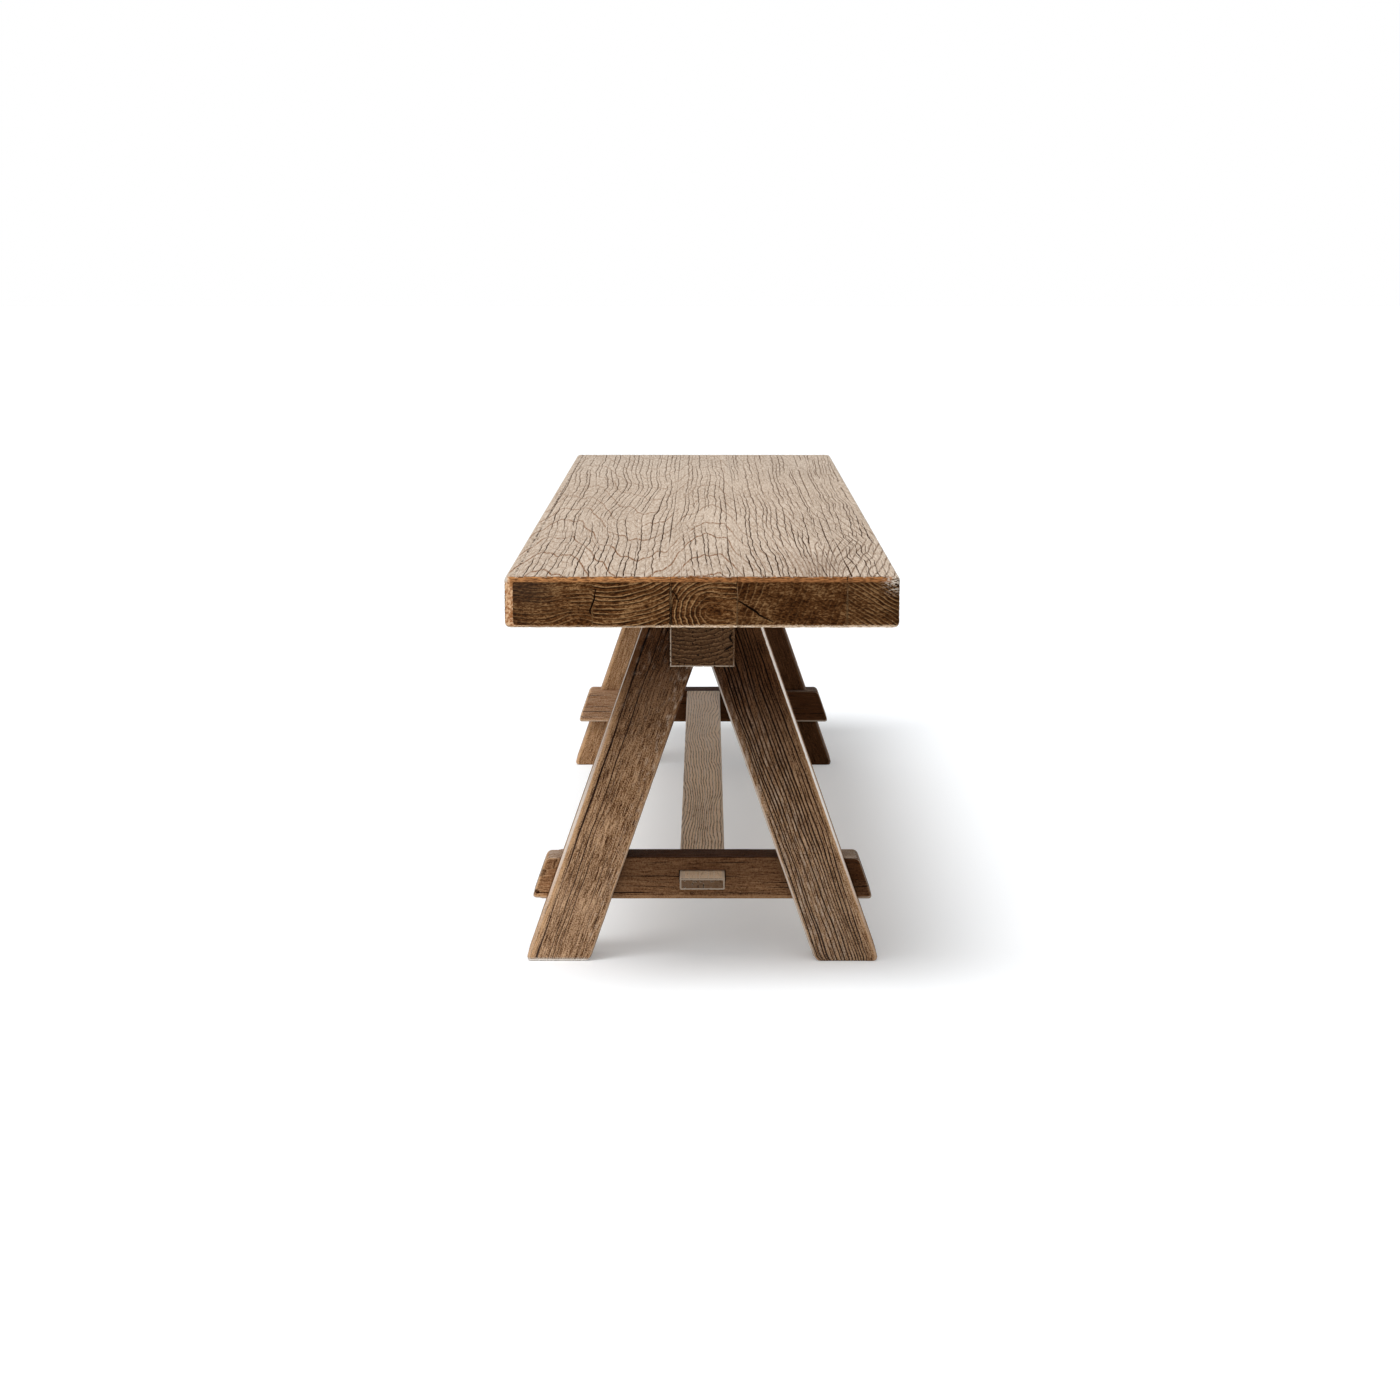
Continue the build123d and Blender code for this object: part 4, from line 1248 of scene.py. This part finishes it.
    # painted shade: a thin dark contact line at the very bottom of the foot
    stain = stain + 0.8 * ramp(-z, -0.9 * MM, -0.5 * MM)
    face = np.abs(y - outer_y) < 1.5 * MM
    outer = side * x > foot - lean * z - 3 * MM
    foot_line = ramp(-z, -4.5 * MM, -2.5 * MM) * ramp(z, 0.2 * MM, 0.5 * MM) * (np.abs(y - outer_y) < 3 * MM)
    outer_gap = foot - lean * z - side * x
    inner_gap = level_width - outer_gap
    shown = outer & (np.abs(y - outer_y) < 5 * MM)
    # painted highlight: a pale line down the outer arris, and on the near right leg's inner arris
    polish = 0.10 + (0.65 if left else 0.90) * shown * ramp(z, 0.02, 0.18)
    # painted highlight: the outermost half millimetre of the leg is lighter
    stain = stain * (1 - 0.6 * (outer_gap < 0.5 * MM))
    polish = polish + 0.35 * (side > 0 and near) * (face & (inner_gap < 3 * MM))
    # painted shade: the leg heads beside the beam, under the seat, take the deepest shade
    by_beam = (z > beam_low[2]) & (side * x < beam_high[0] + 1 * MM)
    polish = polish * (1 - by_beam)
    stain = np.where(by_beam, DEEPEST_SHADE_STAIN, stain)
    if cracked:
        # less of the painted shade within 4 mm of the outer edge below the head, leaving a lighter tan
        # strip; a little more above
        stain = stain * (1 - ramp(-outer_gap, -9 * MM, -4 * MM) * (0.85 - 0.95 * ramp(z, 0.20, 0.34)))
        polish = polish * (1 - ramp(z, 0.16, 0.30) * ramp(outer_gap, 0.5 * MM, 1.3 * MM))
    specks = ramp(noise(x / 0.004, z / 0.007, 460 + index), 0.15, 0.6)
    greyed = 0.45 * cracked * specks * (0.25 + 0.75 * ramp(-inner_gap, -0.022, -0.006))
    greyed = np.maximum(greyed, 0.09 * near * ramp(-z, -0.22, -0.06))
    if ribbed:
        # painted highlight: light grey on the crests between the ribs, lower down the leg
        crests = (1 - ramp(read_field(piece, "crack"), 0.02, 0.2)) * face * ramp(-inner_gap, -0.060, -0.030)
        crests = crests * ramp(noise(x / 0.003, z / 0.025, 470), -0.3, 0.4) * ramp(-z, -0.36, -0.12)
        greyed = np.maximum(greyed, 0.60 * crests)
        stain = stain + 0.05
    if cracked:
        greyed = greyed + 1.5 * foot_line
        stain = stain + 0.06 + 0.40 * ramp(-inner_gap, -3 * MM, -1 * MM)
    store_fields(piece, bleach=np.clip(greyed, 0, 2), stain=np.clip(stain, 0, DEEPEST_SHADE_STAIN),
                 polish=np.clip(polish, 0, 1))
    settle(piece, material, "frame_wood", name)


def build_rail(name, material):
    """A cross rail: an upright section carried sideways, its ends leaning with the legs, housed for both."""
    settings = bpy.context.scene.bench_frame
    low, high = node_box(name)
    near = name.startswith("near")
    index = RAILS.index(name)
    lean = math.tan(settings.leg_lean)
    level_width = settings.leg_width / math.cos(settings.leg_lean)
    leg_low, leg_high = node_box("near_leg_right" if near else "far_leg_right")
    middle = (low[2] + high[2]) / 2
    half_length = high[0] - lean * (high[2] - low[2]) / 2
    leg_outer = leg_high[0] - lean * middle
    leg_inner = leg_outer - level_width
    outer_y, inner_y = (low[1], high[1]) if near else (high[1], low[1])
    leg_inner_y = leg_high[1] if near else leg_low[1]
    lap_depth = (1 - settings.lap_share) * abs(outer_y - leg_inner_y)
    thickness, height = abs(outer_y - inner_y), high[2] - low[2]
    stretcher_high = node_box("stretcher")[1]
    gap, ledge = settings.mortise_gap, 0.1 * MM
    hole_top = stretcher_high[2] - settings.tenon_drop + gap
    hole_bottom = hole_top - settings.tenon_thickness - 2 * gap
    hole_half = stretcher_high[0] + gap
    marks = [leg_inner - ledge, leg_inner + ledge, leg_outer - ledge, leg_outer + ledge,
             hole_half - ledge, hole_half + ledge]
    breaks = [-m for m in marks] + marks
    radius = settings.rail_arris
    rows = end_rows(-half_length, half_length, settings.rail_corner, 3.4 * MM, breaks)

    def face_with_hole(from_top):
        """Columns of a side face measured from its first corner, with columns at the mortise's edges."""
        face = spread_face(radius, height - radius, 2 * MM, 6.5 * MM, 610 + index, 0.5 * MM, 1.3 * MM)
        top, bottom = high[2] - hole_top, high[2] - hole_bottom
        if not from_top:
            top, bottom = height - bottom, height - top
        extra = np.array([top - ledge, top + ledge, bottom - ledge, bottom + ledge])
        keep = np.min(np.abs(face["places"][:, None] - extra), axis=1) > 0.3 * MM
        places = np.concatenate([face["places"][keep], extra])
        order = np.argsort(places)
        return {"places": places[order],
                "shape": np.concatenate([face["shape"][keep], np.zeros(4)])[order],
                "number": np.concatenate([face["number"][keep], np.zeros(4, int)])[order]}

    level = spread_face(radius, thickness - radius, 2 * MM, 7 * MM, 620 + index, 0.55 * MM, 1.4 * MM)
    # a runs from the outer face (0) to the inner face, b is the height
    faces = (level, face_with_hole(True), level, face_with_hole(False))
    end_gap = half_length - np.abs(rows)
    arris = arris_inset(end_gap, radius)
    corner = np.maximum(arris, arris_inset(end_gap, settings.rail_corner))
    in_lap = (np.abs(rows) > leg_inner) & (np.abs(rows) < leg_outer)
    outer = arris + lap_depth * in_lap
    insets = (corner, arris, corner, outer)

    def wander(place, row, side):
        drift = 2.6 * noise(place / 0.03, row / 0.10, 640 + 4 * index + side)
        calm = ramp(np.abs(row), hole_half + 2 * MM, hole_half + 22 * MM) if side % 2 else 1.0
        return MM * drift * calm

    def relief(place, row, side, shape, number):
        seed = 660 + 4 * index + side
        strength = np.clip(0.35 + 1.1 * noise(number * 4.3 + 0.5, row / 0.07, seed), 0, 1)
        crack = shape * strength
        fine = 0.30 * MM * roughness(place / 0.0024, row / 0.03, seed + 1)
        lumps = 0.9 * MM * ramp(noise(place / 0.012, row / 0.012, seed + 2), 0.0, 0.3)
        past_leg = ramp(-row if near else row, leg_outer, leg_outer + 4 * MM)
        depth = 0.9 * MM * crack + fine + lumps * past_leg
        if side == 3:
            crack = np.maximum(crack, 0.34 * ramp(lumps / MM, 0.3, 0.8) * past_leg)
        if side % 2:
            from_top = place if side == 1 else height - place
            inside = ((from_top > high[2] - hole_top) & (from_top < high[2] - hole_bottom)
                      & (np.abs(row) < hole_half))
            depth = np.where(inside, thickness * 0.49, depth)
            crack = np.where(inside, 1.0, crack)
        return depth, crack

    def to_space(a, b, along):
        a, b, along = np.broadcast_arrays(a, b, along)
        turn = ramp(np.abs(along), 0.03, leg_inner - 4 * MM)
        x = along - np.sign(along) * lean * turn * (b - middle)
        y = outer_y + a * (1 if near else -1)
        return np.stack([x, y, b], -1)

    box = (0.0, thickness, low[2], high[2])
    surface = bar_surface(rows, box, (radius,) * 4, faces, insets, wander, relief,
                          (NO_RIM, 2.5 * MM, 3 * MM, NO_RIM), (3 * MM,) * 4)
    heart = (0.02, middle - 0.06)
    ends = [ring_end(heart, 3 * MM, seed + index, 0.35 * MM) for seed in (680, 690)]
    piece = build_bar(name + "_wood", rows, surface, ends, to_space, (1.5 * MM,) * 4,
                      cap_margin=0.9 * MM, cap_pitch=1.0 * MM)
    x, y, z = point_places(piece)
    if near:
        # painted shade at the right end and on the top between the legs under the seat, painted light at the
        # left end and on the tops past the legs; darker along the upper part
        stain = 0.56 + 0.16 * ramp(z, 0.08, 0.10) + 0.34 * ramp(x, 0.10, 0.17) - 0.45 * ramp(-x, 0.12, 0.15)
        between = ramp(-np.abs(x), -leg_outer, -leg_inner)
        on_top = ramp(z, high[2] - 1.2 * MM, high[2] - 0.6 * MM)
        stain = stain + on_top * ((0.45 - 0.3 * ramp(x, 0.0, 0.1)) * between - 0.6 * (1 - between))
    else:
        # painted shade: the far rail darker towards the right
        stain = 1.0 * ramp(x, -0.14, -0.02)
    past_legs = ramp(np.abs(x), leg_inner, leg_outer)
    # painted light: the tops of the rail ends past the legs lighter, as lit from above
    on_ends = ramp(z, high[2] - 1.8 * MM, high[2] - 0.8 * MM) * past_legs
    pale = 0.0 if near else 0.24 * ramp(-x, 0.08, 0.14)
    store_fields(piece, stain=np.clip(stain, 0, DEEPEST_SHADE_STAIN), polish=0.4 * past_legs,
                 bleach=np.maximum((0.85 if near else 0.3) * on_ends, pale))
    settle(piece, material, "frame_wood", name)


def stretcher_phase(x, y):
    """Phase of the wavy lines along the stretcher: x over their spacing, bent by three layers of noise."""
    bend = 9 * noise(x / 0.05, y / 0.42, 761) + 3.4 * noise(x / 0.03, y / 0.11, 762)
    bend = bend + 0.7 * noise(x / 0.012, y / 0.035, 763)
    return (x + MM * bend) / (3.3 * MM)


def build_stretcher(material):
    """The stretcher: full section between the rails, a thin tenon through each rail beyond."""
    settings = bpy.context.scene.bench_frame
    low, high = node_box("stretcher")
    shoulder = high[1] - settings.tenon_reach
    ledge = 0.05 * MM
    radius, end_arris = settings.rail_arris, 1.2 * MM
    rows = end_rows(low[1], high[1], end_arris, 6 * MM,
                    [-shoulder - ledge, -shoulder + ledge, shoulder - ledge, shoulder + ledge])
    width, height = high[0] - low[0], high[2] - low[2]
    tenon_top = settings.tenon_drop
    tenon_bottom = height - tenon_top - settings.tenon_thickness
    tenon = np.abs(rows) > shoulder
    arris = arris_inset(from_ends(rows), end_arris)
    insets = (arris + tenon_top * tenon, arris, arris + tenon_bottom * tenon, arris)
    top = spread_face(radius, width - radius, 1 * MM, 5.4 * MM, 700, 0.60 * MM, 1.2 * MM)
    cheek = spread_face(radius, height - radius, 2 * MM, 6 * MM, 701, 0.5 * MM, 1.6 * MM)
    faces = (top, cheek, top, cheek)

    def wander(place, row, side):
        drift = 4.6 * noise(place / 0.034, row / 0.21, 710 + side)
        drift = drift + 1.3 * noise(place / 0.014, row / 0.08, 720 + side)
        calm = ramp(-np.abs(row), -shoulder - 1 * MM, -shoulder + 30 * MM)
        return MM * drift * calm

    def relief(place, row, side, shape, number):
        strength = np.clip(0.5 + 0.9 * noise(number * 6.1 + 0.5, row / 0.12, 730 + side), 0, 1)
        crack = shape * strength
        fine = 0.22 * MM * roughness(place / 0.0022, row / 0.05, 740 + side)
        return 0.5 * MM * crack + fine, 0.25 * crack

    box = (low[0], high[0], low[2], high[2])
    surface = bar_surface(rows, box, (radius,) * 4, faces, insets, wander, relief,
                          (2 * MM, 2 * MM, 2 * MM, 3 * MM), (3 * MM,) * 4)
    ends = [ring_end((0.01, 0.06), 1.7 * MM, seed, 0.15 * MM) for seed in (750, 751)]
    piece = build_bar("stretcher_wood", rows, surface, ends, straight, (3 * MM,) * 4,
                      cap_margin=0.6 * MM, cap_pitch=0.8 * MM)
    x, y, z = point_places(piece)
    from_middle = np.abs(y)
    on_body, on_tenon = from_middle < shoulder, from_middle > shoulder
    # the lines turn down over the sides, so the drop from the top counts as width
    unrolled = x + (high[2] - z)
    lines = stretcher_phase(unrolled, y)
    line_slope = slope_of(stretcher_phase, unrolled, y, 1 * MM, 6 * MM)
    store_fields(piece, phase=np.where(from_middle < high[1] - 2 * MM, lines, 0.0),
                 slope=np.where(on_body, line_slope, NO_SLOPE),
                 bleach=(0.12 + 0.45 * ramp(y, -0.3, 0.5)) * on_body,
                 stain=0.86 * (from_middle > high[1] - 1 * MM) + 0.12 * on_tenon,
                 polish=np.where(on_tenon, 0.45, 0.3))
    settle(piece, material, "stretcher_wood", "stretcher")


def build_beam(material):
    """The ridge beam under the seat, its ends showing between the leg heads."""
    settings = bpy.context.scene.bench_frame
    low, high = node_box("ridge_beam")
    radius = 0.5 * settings.rail_arris
    rows = end_rows(low[1], high[1], radius, 7 * MM)
    width, height = high[0] - low[0], high[2] - low[2]
    insets = (arris_inset(from_ends(rows), radius),) * 4
    level = spread_face(radius, width - radius, 2 * MM, 7 * MM, 800, 0.6 * MM, 1.8 * MM)
    upright = spread_face(radius, height - radius, 2 * MM, 7 * MM, 801, 0.6 * MM, 1.8 * MM)
    faces = (level, upright, level, upright)

    def wander(place, row, side):
        return MM * 3.0 * noise(place / 0.04, row / 0.2, 810 + side)

    def relief(place, row, side, shape, number):
        strength = np.clip(0.4 + 1.0 * noise(number * 3.9 + 0.5, row / 0.12, 820 + side), 0, 1)
        crack = shape * strength
        fine = 0.25 * MM * roughness(place / 0.003, row / 0.05, 830 + side)
        return 1.0 * MM * crack + fine, crack

    box = (low[0], high[0], low[2], high[2])
    surface = bar_surface(rows, box, (radius,) * 4, faces, insets, wander, relief,
                          (NO_RIM, 1.5 * MM, 1.5 * MM, NO_RIM), (NO_RIM, NO_RIM, 1.5 * MM, 1.5 * MM))
    heart = (-0.012, 0.445)
    pits = ((((0.0325, 0.372), (0.0300, 0.366), (0.0335, 0.360)), 1.8 * MM),
            (((0.0240, 0.352), (0.0295, 0.3555), (0.0330, 0.3575)), 1.6 * MM))
    ends = (ring_end(heart, 4.8 * MM, 850, 0.3 * MM, pits), ring_end(heart, 4.8 * MM, 860, 0.3 * MM))
    piece = build_bar("ridge_beam_wood", rows, surface, ends, straight,
                      (NO_RIM, NO_RIM, 3 * MM, 2 * MM), cap_margin=0.9 * MM, cap_pitch=0.8 * MM)
    x = point_places(piece)[0]
    store_fields(piece, stain=0.28 + 0 * x, polish=0.34 * ramp(-x, -0.032, -0.025))
    settle(piece, material, "frame_wood", "ridge_beam")


# Hidden joinery

def dowel_material():
    """Plain beech: short dark flecks along a pale ground."""
    settings = bpy.context.scene.bench_frame
    material, nodes, shader = new_material("Beech dowel", 0.3)
    place = nodes.add("ShaderNodeTexCoord").outputs["Object"]
    flecks = nodes.remap(nodes.streaks(place, (900.0, 160.0, 900.0), 2.0), 0.55, 0.7)
    clouds = nodes.group("Tone clouds", Place=place, Scale=30.0)
    colour = nodes.mix(clouds["Cloud"], srgb(168, 138, 104), settings.dowel_colour)
    colour = nodes.mix(nodes.times(flecks, 0.5), colour, srgb(128, 92, 60))
    rough = nodes.remap(clouds["Speckle"], 0.0, 1.0, 0.5, 0.65)
    finish_material(nodes, shader, colour, rough, flecks, 0.3, 0.0002)
    return material


def steel_material():
    """Zinc-plated steel: dull clouds over fine turned lines."""
    settings = bpy.context.scene.bench_frame
    material, nodes, shader = new_material("Zinc plated steel", 0.5)
    shader.inputs["Metallic"].default_value = 1.0
    place = nodes.add("ShaderNodeTexCoord").outputs["Object"]
    turned = nodes.streaks(place, (200.0, 200.0, 2600.0), 2.0)
    clouds = nodes.group("Tone clouds", Place=place, Scale=60.0)
    colour = nodes.mix(clouds["Cloud"], srgb(150, 151, 154), settings.steel_colour)
    rough = nodes.remap(clouds["Cloud"], 0.0, 1.0, 0.3, 0.45)
    finish_material(nodes, shader, colour, rough, turned, 0.2, 0.0001)
    return material


# Stage

def seen_plainly(nodes):
    """1 for rays that come from the camera, off gloss or through glass, and 0 for the light on things."""
    paths = nodes.add("ShaderNodeLightPath").outputs
    seen = nodes.larger(paths["Is Camera Ray"], paths["Is Glossy Ray"])
    return nodes.larger(seen, paths["Is Transmission Ray"])


def build_floor():
    """One level square, large enough to reach the horizon; its shader adds white where it is seen."""
    settings = bpy.context.scene.bench_stage
    material, nodes, shader = new_material("Studio floor", 0.1)
    tree = material.node_tree
    place = nodes.add("ShaderNodeTexCoord").outputs["Object"]
    mottle = nodes.noise(place, 3.0, 2.0)
    nodes.feed(shader.inputs["Roughness"], nodes.remap(mottle, 0.3, 0.7, 0.85, 0.95))
    shader.inputs["Base Color"].default_value = (*settings.floor_colour, 1.0)
    white, black = (1.0, 1.0, 1.0), (0.0, 0.0, 0.0)
    glow = nodes.add("ShaderNodeEmission", inputs={"Color": white, "Strength": settings.floor_glow})
    nothing = nodes.add("ShaderNodeEmission", inputs={"Color": black, "Strength": 0.0})
    gate = nodes.add("ShaderNodeMixShader")
    tree.links.new(seen_plainly(nodes), gate.inputs[0])
    tree.links.new(nothing.outputs[0], gate.inputs[1])
    tree.links.new(glow.outputs[0], gate.inputs[2])
    both = nodes.add("ShaderNodeAddShader")
    tree.links.new(shader.outputs[0], both.inputs[0])
    tree.links.new(gate.outputs[0], both.inputs[1])
    output = tree.nodes["Material Output"]
    tree.links.new(both.outputs[0], output.inputs["Surface"])
    half = settings.floor_size
    x, y = np.meshgrid(np.linspace(-half, half, 2), np.linspace(-half, half, 2))
    mesh = bpy.data.meshes.new("studio_floor")
    mesh.from_pydata(np.stack([x.ravel(), y.ravel(), 0 * x.ravel()], -1).tolist(), [], [(0, 1, 3, 2)])
    floor = bpy.data.objects.new("studio_floor", mesh)
    bpy.context.scene.collection.objects.link(floor)
    mesh.materials.append(material)


def sun(name, strength, angle, direction):
    """A soft distant lamp that shines along a direction."""
    light = bpy.data.lights.new(name, "SUN")
    light.energy = strength
    light.angle = angle
    lamp = bpy.data.objects.new(name, light)
    lamp.rotation_euler = Vector(direction).to_track_quat("-Z", "Y").to_euler()
    bpy.context.scene.collection.objects.link(lamp)


def build_lights():
    """Two soft distant lamps and an even white room that shows as plain white."""
    settings = bpy.context.scene.bench_stage
    sun("key_light", settings.key, settings.key_angle, (settings.key_right, settings.key_back, -1.0))
    sun("front_fill", settings.fill, math.radians(80), (0.25, 1.0, -0.7))
    world = bpy.data.worlds.new("Studio room")
    bpy.context.scene.world = world
    world.use_nodes = True
    nodes = Nodes(world.node_tree)
    tree = world.node_tree
    strength = nodes.add("ShaderNodeMapRange", inputs={"Value": seen_plainly(nodes), "To Min": settings.sky,
                                                       "To Max": 1.0})
    background = tree.nodes["Background"]
    background.inputs["Color"].default_value = (1.0, 1.0, 1.0, 1.0)
    tree.links.new(strength.outputs[0], background.inputs["Strength"])


def build_camera():
    """The camera at the photo's viewing angle."""
    settings = bpy.context.scene.bench_stage
    lens = bpy.data.cameras.new("photo_camera")
    lens.lens = settings.lens
    lens.sensor_width = 36.0
    lens.clip_end = 200.0
    camera = bpy.data.objects.new("photo_camera", lens)
    camera.location = (settings.camera_x, settings.camera_y, settings.camera_z)
    camera.rotation_euler = (math.pi / 2 - settings.camera_pitch, 0.0, settings.camera_turn)
    bpy.context.scene.collection.objects.link(camera)
    bpy.context.scene.camera = camera


# Operators and panel

class BENCH_OT_seat(bpy.types.Operator):
    """Build the four cracked seat boards"""

    bl_idname = "bench.seat"
    bl_label = "Seat boards"

    def execute(self, context):
        material = seat_material()
        for index, name in enumerate(SEAT_BOARDS):
            build_seat_board(name, index, material)
        return {"FINISHED"}


class BENCH_OT_legs(bpy.types.Operator):
    """Build the four leaning legs"""

    bl_idname = "bench.legs"
    bl_label = "Legs"

    def execute(self, context):
        settings = context.scene.bench_frame
        material = frame_material("Brushed leg timber", settings.leg_light, settings.leg_colour,
                                  settings.leg_dark, settings.strip_colour, settings.leg_arris_highlight)
        for name in LEGS:
            build_leg(name, material)
        return {"FINISHED"}


class BENCH_OT_rails(bpy.types.Operator):
    """Build the two cross rails"""

    bl_idname = "bench.rails"
    bl_label = "Cross rails"

    def execute(self, context):
        settings = context.scene.bench_frame
        material = frame_material("Rail timber", settings.rail_light, settings.rail_colour,
                                  settings.leg_dark, settings.strip_colour, settings.rim_colour, 0.6)
        for name in RAILS:
            build_rail(name, material)
        return {"FINISHED"}


class BENCH_OT_stretcher(bpy.types.Operator):
    """Build the low stretcher with its two tenons"""

    bl_idname = "bench.stretcher"
    bl_label = "Stretcher"

    def execute(self, context):
        settings = context.scene.bench_frame
        material = frame_material("Stretcher timber", settings.stretcher_light, settings.stretcher_colour,
                                  settings.stretcher_dark, settings.rim_colour, settings.rim_colour, 0.35,
                                  grey_share=0.25)
        build_stretcher(material)
        return {"FINISHED"}


class BENCH_OT_beam(bpy.types.Operator):
    """Build the ridge beam under the seat"""

    bl_idname = "bench.beam"
    bl_label = "Ridge beam"

    def execute(self, context):
        settings = context.scene.bench_frame
        material = frame_material("Ridge beam timber", settings.beam_light, settings.beam_colour,
                                  settings.beam_dark, settings.rim_colour, settings.rim_colour, 0.7,
                                  end_contrast=0.45)
        build_beam(material)
        return {"FINISHED"}


class BENCH_OT_joinery(bpy.types.Operator):
    """Give the hidden dowels, tongues and screws their finish"""

    bl_idname = "bench.joinery"
    bl_label = "Hidden joinery"

    def execute(self, context):
        for names, material in ((HIDDEN_WOOD, dowel_material()), (HIDDEN_STEEL, steel_material())):
            for name in names:
                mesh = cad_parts[name].data
                mesh.materials.clear()
                mesh.materials.append(material)
        return {"FINISHED"}


class BENCH_OT_stage(bpy.types.Operator):
    """Build the floor, the lights and the camera"""

    bl_idname = "bench.stage"
    bl_label = "Stage"

    def execute(self, context):
        build_floor()
        build_lights()
        build_camera()
        context.scene.view_settings.view_transform = "Standard"
        return {"FINISHED"}


OPERATORS = (BENCH_OT_seat, BENCH_OT_legs, BENCH_OT_rails, BENCH_OT_stretcher, BENCH_OT_beam,
             BENCH_OT_joinery, BENCH_OT_stage)


class BENCH_PT_panel(bpy.types.Panel):
    """Lists the bench's settings and the operators that build it"""

    bl_idname = "BENCH_PT_panel"
    bl_label = "Trestle Bench"
    bl_space_type = "VIEW_3D"
    bl_region_type = "UI"
    bl_category = "Trestle Bench"

    def draw(self, context):
        layout = self.layout
        for operator in OPERATORS:
            layout.operator(operator.bl_idname)
        for group in (context.scene.bench_seat, context.scene.bench_frame, context.scene.bench_stage):
            box = layout.box()
            for key in group.__annotations__:
                box.prop(group, key)


SETTINGS = (("bench_seat", SeatSettings), ("bench_frame", FrameSettings), ("bench_stage", StageSettings))


def register():
    """Makes the settings, operators and panel known to Blender."""
    for name, group in SETTINGS:
        bpy.utils.register_class(group)
        setattr(bpy.types.Scene, name, bpy.props.PointerProperty(type=group))
    for operator in OPERATORS:
        bpy.utils.register_class(operator)
    bpy.utils.register_class(BENCH_PT_panel)


def unregister():
    """Takes the panel, operators and settings out again, last first."""
    bpy.utils.unregister_class(BENCH_PT_panel)
    for operator in reversed(OPERATORS):
        bpy.utils.unregister_class(operator)
    for name, group in reversed(SETTINGS):
        delattr(bpy.types.Scene, name)
        bpy.utils.unregister_class(group)


def main():
    """Builds every piece and the stage."""
    register()
    bpy.ops.bench.seat()
    bpy.ops.bench.legs()
    bpy.ops.bench.rails()
    bpy.ops.bench.stretcher()
    bpy.ops.bench.beam()
    bpy.ops.bench.joinery()
    bpy.ops.bench.stage()


if __name__ == "__main__":
    main()
